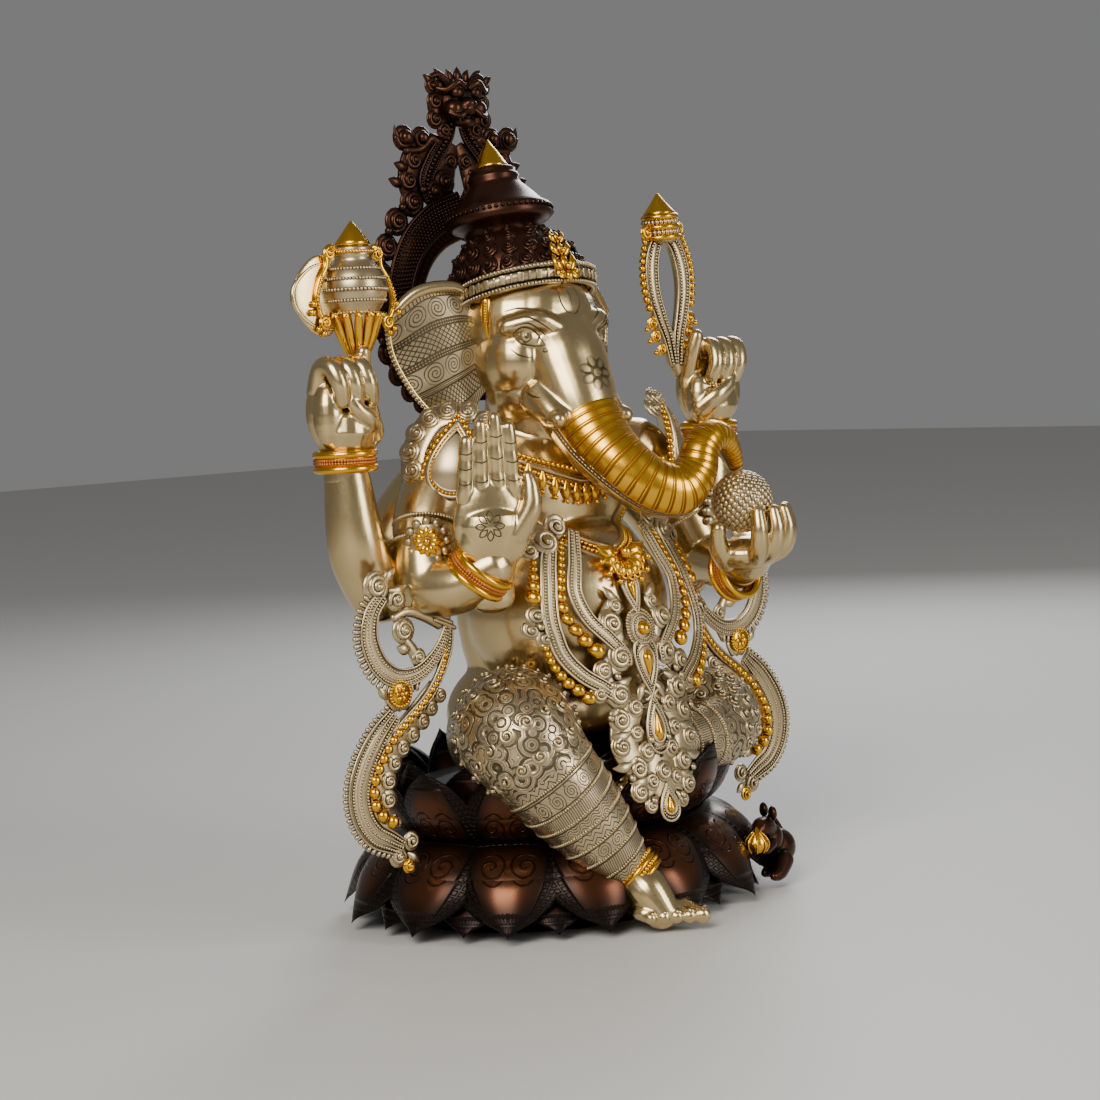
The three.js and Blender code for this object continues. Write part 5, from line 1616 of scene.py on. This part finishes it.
# %% [markdown]
# The upper left hand holds the noose: a pointed loop of rope, cast as a flat openwork frame round an
# eye-shaped hole, with a ringed collar, a gold cone, gold beads down both sides and curls at the foot.
# %% Noose
NOOSE_FRONT = 4
loop_bm, noose_gold_bm = bmesh.new(), bmesh.new()
for side in (-1, 1):
    frame_line = [(side * 2, 34, 3), (side * 9, 28, 4.6), (side * 13.5, 14, 5.4), (side * 13.5, -2, 5.2),
                  (side * 9.5, -18, 4.6), (side * 4.5, -33, 4.0), (side * 2, -50, 3.0)]
    ribbon(loop_bm, frame_line, thick=7, rails=(-0.95, -0.1, 0.95), ropes=(-0.5, 0.45), grain=1.1)
    beads_along(noose_gold_bm, in_plane([(side * 17, 32), (side * 21.5, 16), (side * 21, -2),
                                         (side * 17, -16)], -2),
                2.0, 3.1, spacing=1.02)
    curl(noose_gold_bm, (side * 14, 38), 5.4, 90, -side, y=-2)
    curl(noose_gold_bm, (side * 17, -21), 4.6, 60, side, y=-2)
    curl(noose_gold_bm, (side * 15, -30), 4.4, 60, side, y=-2)
    curl(noose_gold_bm, (side * 11, -39), 4.0, 60, side, y=-2)
    for at in ((22, -25), (20.5, -33), (16, -41)):
        bead(noose_gold_bm, (side * at[0], -1.5, at[1]), 1.9)
bar(loop_bm, [(0, -30, 5), (1, -45, 5.5), (4, -56, 4.5)], 1, flat=0.8)
for k in range(5):
    rope_ring(loop_bm if k % 2 else noose_gold_bm, Vector((0, 0, 34 + 3.4 * k)), (0, 0, 1),
              11.6 - 0.25 * k, 1.9, k % 2 == 1)
turned(loop_bm, Matrix.Translation((0, 0, 30)), [(0, 0), (8, 0), (11, 3), (10.6, 18), (0, 18.4)], 32)
turned(noose_gold_bm, Matrix.Translation((0, 0, 49)), [(0, 0), (10.2, 0), (10.4, 1.4), (9.4, 2.6),
                                                       (4.6, 8.6), (0.8, 14), (0, 14.2)],
       36)
noose_place = Matrix.Translation((121, NOOSE_FRONT, 387)) @ Matrix.Rotation(math.radians(-4), 4, "Y")
loop_bm.transform(noose_place)
noose_gold_bm.transform(noose_place)
noose = add_piece("noose_frame", loop_bm, chased_brass, "noose_loop")
noose_gold = add_piece("noose_gold", noose_gold_bm, gold_lacquer, "noose_finial")

# %% [markdown]
# Jewellery lies on the skin. Its lines are drawn in front of the chest or the arm and pushed back until
# they touch it, so a rope of beads follows every swelling of the body without any fitting by hand.
# %% Necklace and breast bands
body_skin = skin_of(torso, head, *arms)
STRAIGHT_BACK = Vector((0, 1, 0))
neck_gold_bm, neck_bm = bmesh.new(), bmesh.new()


def draped(points, lift, way=STRAIGHT_BACK):
    """(x, z) points laid on the body."""
    line = smooth_path([(x, 0, z) for x, z in points], 8 * len(points))
    return cast_on(body_skin, line, way, lift)


def draped_rope(bm, points, radius, lift=0.6, beads=True, last=None):
    line = [Vector(p) for p in draped(points, lift)]
    if beads:
        beads_along(bm, line[::2], radius, last, spacing=0.85)
    else:
        sweep(bm, [(*p, radius) for p in line], sides=8, count=2 * len(line))


for lift_z, radius, beads in ((0, 1.9, True), (-4.6, 1.4, False), (-8.4, 1.9, True), (-11.6, 1.0, False)):
    arc = [(-50, 296 + lift_z), (-34, 285 + lift_z), (-14, 278 + lift_z * 1.2), (0, 275 + lift_z * 1.3),
           (14, 278 + lift_z * 1.2), (34, 285 + lift_z), (50, 296 + lift_z)]
    draped_rope(neck_gold_bm if beads else neck_bm, arc, radius, 1.0, beads)
for k in range(-6, 7):
    x = 7.2 * k
    z = 261 + 0.011 * x * x
    spot = Vector(draped([(x, z), (x, z + 0.1)], 1.5)[0])
    tongue = bmesh.new()
    leaf(tongue, (0, 6), (x * 0.03, -6), 6.6, flat=0.6)
    bead(tongue, (x * 0.03, -1.4, -6.5), 1.5)
    pour(neck_gold_bm, tongue, Matrix.Translation(spot) @ Matrix.Rotation(math.radians(x * 0.7), 4, "Z"))
BAND_LINE = [(-66, 281), (-56, 268), (-44, 252), (-30, 238), (-16, 229), (-6, 225)]
for side in (-1, 1):
    for shift, radius, beads in ((4.0, 1.3, False), (1.4, 1.7, True), (-1.8, 1.7, True),
                                 (-4.6, 1.3, False)):
        line = [(-side * (x + shift * 0.7), z + shift * 0.7) for x, z in BAND_LINE]
        draped_rope(neck_gold_bm if beads else neck_bm, line, radius, 0.8, beads)
rosette = bmesh.new()
for k in range(7):
    turn = math.radians(-90 + 26 * (k - 3))
    drop_tip = (18 * math.cos(turn), 18 * math.sin(turn) + 2)
    leaf(rosette, (4 * math.cos(turn), 4 * math.sin(turn)), drop_tip, 9, y=-1, flat=0.7)
    bar(rosette, [(*p, 0.8) for p in outline_of_drop((11 * math.cos(turn), 11 * math.sin(turn)), 9, 6)],
        -3, flat=1,
        sides=6, count=24)
    bead(rosette, (19.5 * math.cos(turn), -1.5, 19.5 * math.sin(turn) + 2), 2.0)
for side in (-1, 1):
    leaf(rosette, (side * 3, 3), (side * 19, 8), 10, y=-1, bend=-side * 2, flat=0.6)
bead(rosette, (0, -4, 2), 3.6)
pour(neck_gold_bm, rosette, Matrix.Translation((0, -75, 222)) @ Matrix.Rotation(math.radians(-20), 4,
                                                                                "X"))
necklace_gold = add_piece("necklace_gold", neck_gold_bm, gold_lacquer, "collar")
add_piece("necklace_edges", neck_bm, chased_brass, "breast_band")

# %% [markdown]
# A teardrop plate covers each shoulder joint. It has a polished middle, rope borders, a gold fringe and a
# row of snail bosses round its outer edge. Below it, a rosette clasps the upper arm.
# %% Shoulder plates and armlets
def shoulder_work(silver, gold):
    flat_silver, flat_gold = bmesh.new(), bmesh.new()
    bar(flat_silver, [(0, -22, 9), (0, -10, 19), (0, 4, 15), (0, 20, 3)], flat=0.26, sides=24)
    bar(flat_silver, [(-24, -14, 7), (-25, 6, 8), (-14, 26, 8), (8, 30, 6)], 1, flat=0.2, sides=12)
    for scale, radius in ((1.0, 1.5), (0.84, 1.1)):
        bar(flat_silver, [(*p, radius) for p in outline_of_drop((0, 0), 46, 36, scale)], -2.2, flat=1,
            count=60)
    beads_along(flat_gold, in_plane(outline_of_drop((0, 0), 46, 36, 0.92), -2.6), 1.2)
    beads_along(flat_gold, in_plane(outline_of_drop((0, -1), 60, 46, 0.98), 0), 2.2, spacing=0.95)
    for k in range(9):
        turn = math.radians(-90 + 22 * (k - 4))
        at = (24 * math.cos(turn), 24 * math.sin(turn) - 4)
        leaf(flat_gold, at, (at[0] * 1.32, at[1] * 1.32), 7, flat=0.7)
    for k in range(7):
        turn = math.radians(205 - 25 * k)
        curl(flat_silver, (28 * math.cos(turn), 28 * math.sin(turn) + 4), 6.6, 90, 1, 1.8, y=-1)
    place = (Matrix.Translation((-92, -31, 288)) @ Matrix.Rotation(math.radians(-40), 4, "Z")
             @ Matrix.Rotation(math.radians(-12), 4, "X") @ Matrix.Rotation(math.radians(8), 4, "Y"))
    for flat_bm, into in ((flat_silver, silver), (flat_gold, gold)):
        for v in flat_bm.verts:
            v.co.y += 0.012 * (v.co.x ** 2 + 0.6 * v.co.z ** 2)
        pour(into, flat_bm, place)


def armlet_work(silver, gold):
    flat_silver, flat_gold = bmesh.new(), bmesh.new()
    for k in range(12):
        turn = TAU * k / 12
        way = (math.cos(turn), math.sin(turn))
        leaf(flat_gold, (2 * way[0], 2 * way[1]), (9.6 * way[0], 9.6 * way[1]), 4.6, y=-2, flat=0.7)
        bead(flat_silver, (12.2 * way[0], 0, 12.2 * way[1]), 3.0)
    bead(flat_gold, (0, -4, 0), 2.6)
    bar(flat_silver, [(0, -9, 8), (0, 0, 12), (0, 9, 8)], flat=0.25, sides=20)
    place = Matrix.Translation((-118, -34, 241)) @ Matrix.Rotation(math.radians(-44), 4, "Z")
    for flat_bm, into in ((flat_silver, silver), (flat_gold, gold)):
        for v in flat_bm.verts:
            v.co.y += 0.022 * v.co.x ** 2
        pour(into, flat_bm, place)
    for slip in (-6, 6):
        rope_ring(silver, Vector((-104.5 - slip * 0.3, -15, 242 - slip)), (-0.35, -0.3, -0.9), 20.6, 1.3)


arm_silver, arm_gold = bmesh.new(), bmesh.new()
for work in (shoulder_work, armlet_work):
    work(arm_silver, arm_gold)
mirror_x(arm_silver)
mirror_x(arm_gold)
plates = add_piece("shoulder_plates", arm_silver, chased_brass,
                   ["right_shoulder_plate", "left_shoulder_plate", "right_armlet", "left_armlet"])
add_piece("shoulder_gold", arm_gold, gold_lacquer)

# %% [markdown]
# Bangles come in threes: two polished rings with a band of grains between them, pushed up the wrist.
# %% Bangles
bangles_bm, grains_bm = bmesh.new(), bmesh.new()
for at, way, radius in (((-150, 0, 291), (0, 0, 1), 16.5), ((150, 0, 291), (0, 0, 1), 16.5),
                        ((-97, -56, 221), (0.35, -0.55, 0.75), 17.5),
                        ((98, -72, 204), (0.1, -1, 0.25), 16.5)):
    way = Vector(way).normalized()
    for slip, thick in ((-4.4, 2.4), (4.4, 2.4), (-1.9, 0.9), (1.9, 0.9)):
        rope_ring(bangles_bm, Vector(at) + way * slip, way, radius + 0.8, thick, False)
    for slip in (-0.9, 0.9):
        rope_ring(grains_bm, Vector(at) + way * slip, way, radius + 1.4, 1.3)
add_piece("bangle_rings", bangles_bm, gold_lacquer,
                    ["right_back_bangle", "left_back_bangle", "right_front_bangle", "left_front_bangle"])
bangle_grains = add_piece("bangle_grains", grains_bm, metal("red_gold", rgb(0.55, 0.20, 0.05), GOLD_SHADE,
                                                            roughness=0.35),
                          slot="gold_lacquer")

# %% [markdown]
# The mouse sits on the petals by the foot, holding a sweet in its front paws. It is modelled like the
# body, from lumps melted together, with round ears, a pointed snout and a tail along its back.
# %% Mouse
mouse_bm = bmesh.new()
orb(mouse_bm, (117, -78, 22), (15, 12, 13))
orb(mouse_bm, (104, -84, 31), (11, 10, 11))
sweep(mouse_bm, [(100, -86, 38, 8), (93, -90, 40, 6.4), (85, -93, 37, 3.0)], sides=14)
for side in (-1, 1):
    orb(mouse_bm, (106 + side * 3, -84 + side * 7, 48), (2.6, 5.0, 5.0), (Vector((0, 0, 1)), -25),
        sides=16)
    orb(mouse_bm, (93 + side * 1.8, -90 + side * 4.2, 42.5), (1.8, 1.8, 1.8), sides=10)
    sweep(mouse_bm, [(101 + side * 3, -88 + side * 6, 29, 3.6), (92 + side * 2, -93 + side * 4, 27, 3.0),
                     (86 + side, -95 + side * 3, 30, 2.4)], sides=10)
    sweep(mouse_bm, [(116 + side * 4, -82 + side * 8, 16, 7), (106 + side * 3, -88 + side * 7, 10, 5),
                     (98 + side * 2, -91 + side * 6, 9, 3)], sides=10)
sweep(mouse_bm, [(130, -72, 18, 3.2), (136, -66, 26, 2.4), (132, -64, 36, 1.8), (124, -68, 40, 1.2)],
      sides=8)
mouse = add_piece("mouse_skin", mouse_bm, dark_bronze, "mouse", melt=0.8, smooth=3)
sweet_bm = bmesh.new()
turned(sweet_bm, Matrix.Translation((83, -96, 26)), [(0, 0), (5, 1), (7.4, 5), (6.6, 9), (3, 13),
                                                     (0.8, 16.5), (0, 17)], 28)
for k in range(8):
    turn = TAU * k / 8
    sweep(sweet_bm, [(83 + r * math.cos(turn), -96 + r * math.sin(turn), 26 + z, 0.7) for r, z in
                     ((5.6, 1.2), (7.6, 5), (6.6, 9.2), (2.6, 13.6))], sides=6, count=10)
sweet = add_piece("mouse_sweet_skin", sweet_bm, gold_lacquer, "mouse_sweet")

# %% [markdown]
# The plain fixings keep the shape that they have in the frame: a bracket and two screws behind the head,
# and three bolts under the seat. They only take the finishes.
# %% Fixings
for node, finish in (("halo_bracket", dark_bronze), ("right_halo_screw", steel),
                     ("left_halo_screw", steel),
                     ("body_bolt_1", steel), ("body_bolt_2", steel), ("body_bolt_3", steel)):
    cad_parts[node].material_slots[0].material = finish
print("fixings finished")

# %% Floor, light and sky
floor_mesh = bpy.data.meshes.new("floor")
floor_bm = bmesh.new()
bmesh.ops.create_grid(floor_bm, x_segments=1, y_segments=1, size=6)
floor_bm.to_mesh(floor_mesh)
floor_bm.free()
floor = bpy.data.objects.new("floor", floor_mesh)
bpy.context.scene.collection.objects.link(floor)
paint = Shop("floor_paint")
floor_mesh.materials.append(paint.finish(Base_Color=rgb(0.62, 0.61, 0.59), Roughness=0.6))


def softbox(name, at, size, power, tint=(1, 1, 1)):
    lamp = bpy.data.lights.new(name, "AREA")
    lamp.shape = "RECTANGLE"
    lamp.size, lamp.size_y = size
    lamp.energy = power
    lamp.color = tint
    box = bpy.data.objects.new(name, lamp)
    bpy.context.scene.collection.objects.link(box)
    box.location = at
    box.rotation_euler = (Vector((0, 0, 0.25)) - Vector(at)).to_track_quat("-Z", "Y").to_euler()


softbox("key", (-1.6, -1.0, 1.4), (1.1, 1.1), 46, (1.0, 0.96, 0.90))
softbox("fill", (0.7, -1.9, 0.8), (0.7, 1.2), 22, (1.0, 0.98, 0.95))
softbox("rim", (1.3, 0.9, 1.1), (0.6, 1.0), 16, (0.94, 0.97, 1.0))
world = bpy.data.worlds.new("studio")
bpy.context.scene.world = world
world.use_nodes = True
world.node_tree.nodes["Background"].inputs[0].default_value = rgb(0.52, 0.52, 0.52)
world.node_tree.nodes["Background"].inputs[1].default_value = 0.38
bpy.context.scene.view_settings.view_transform = "AgX"
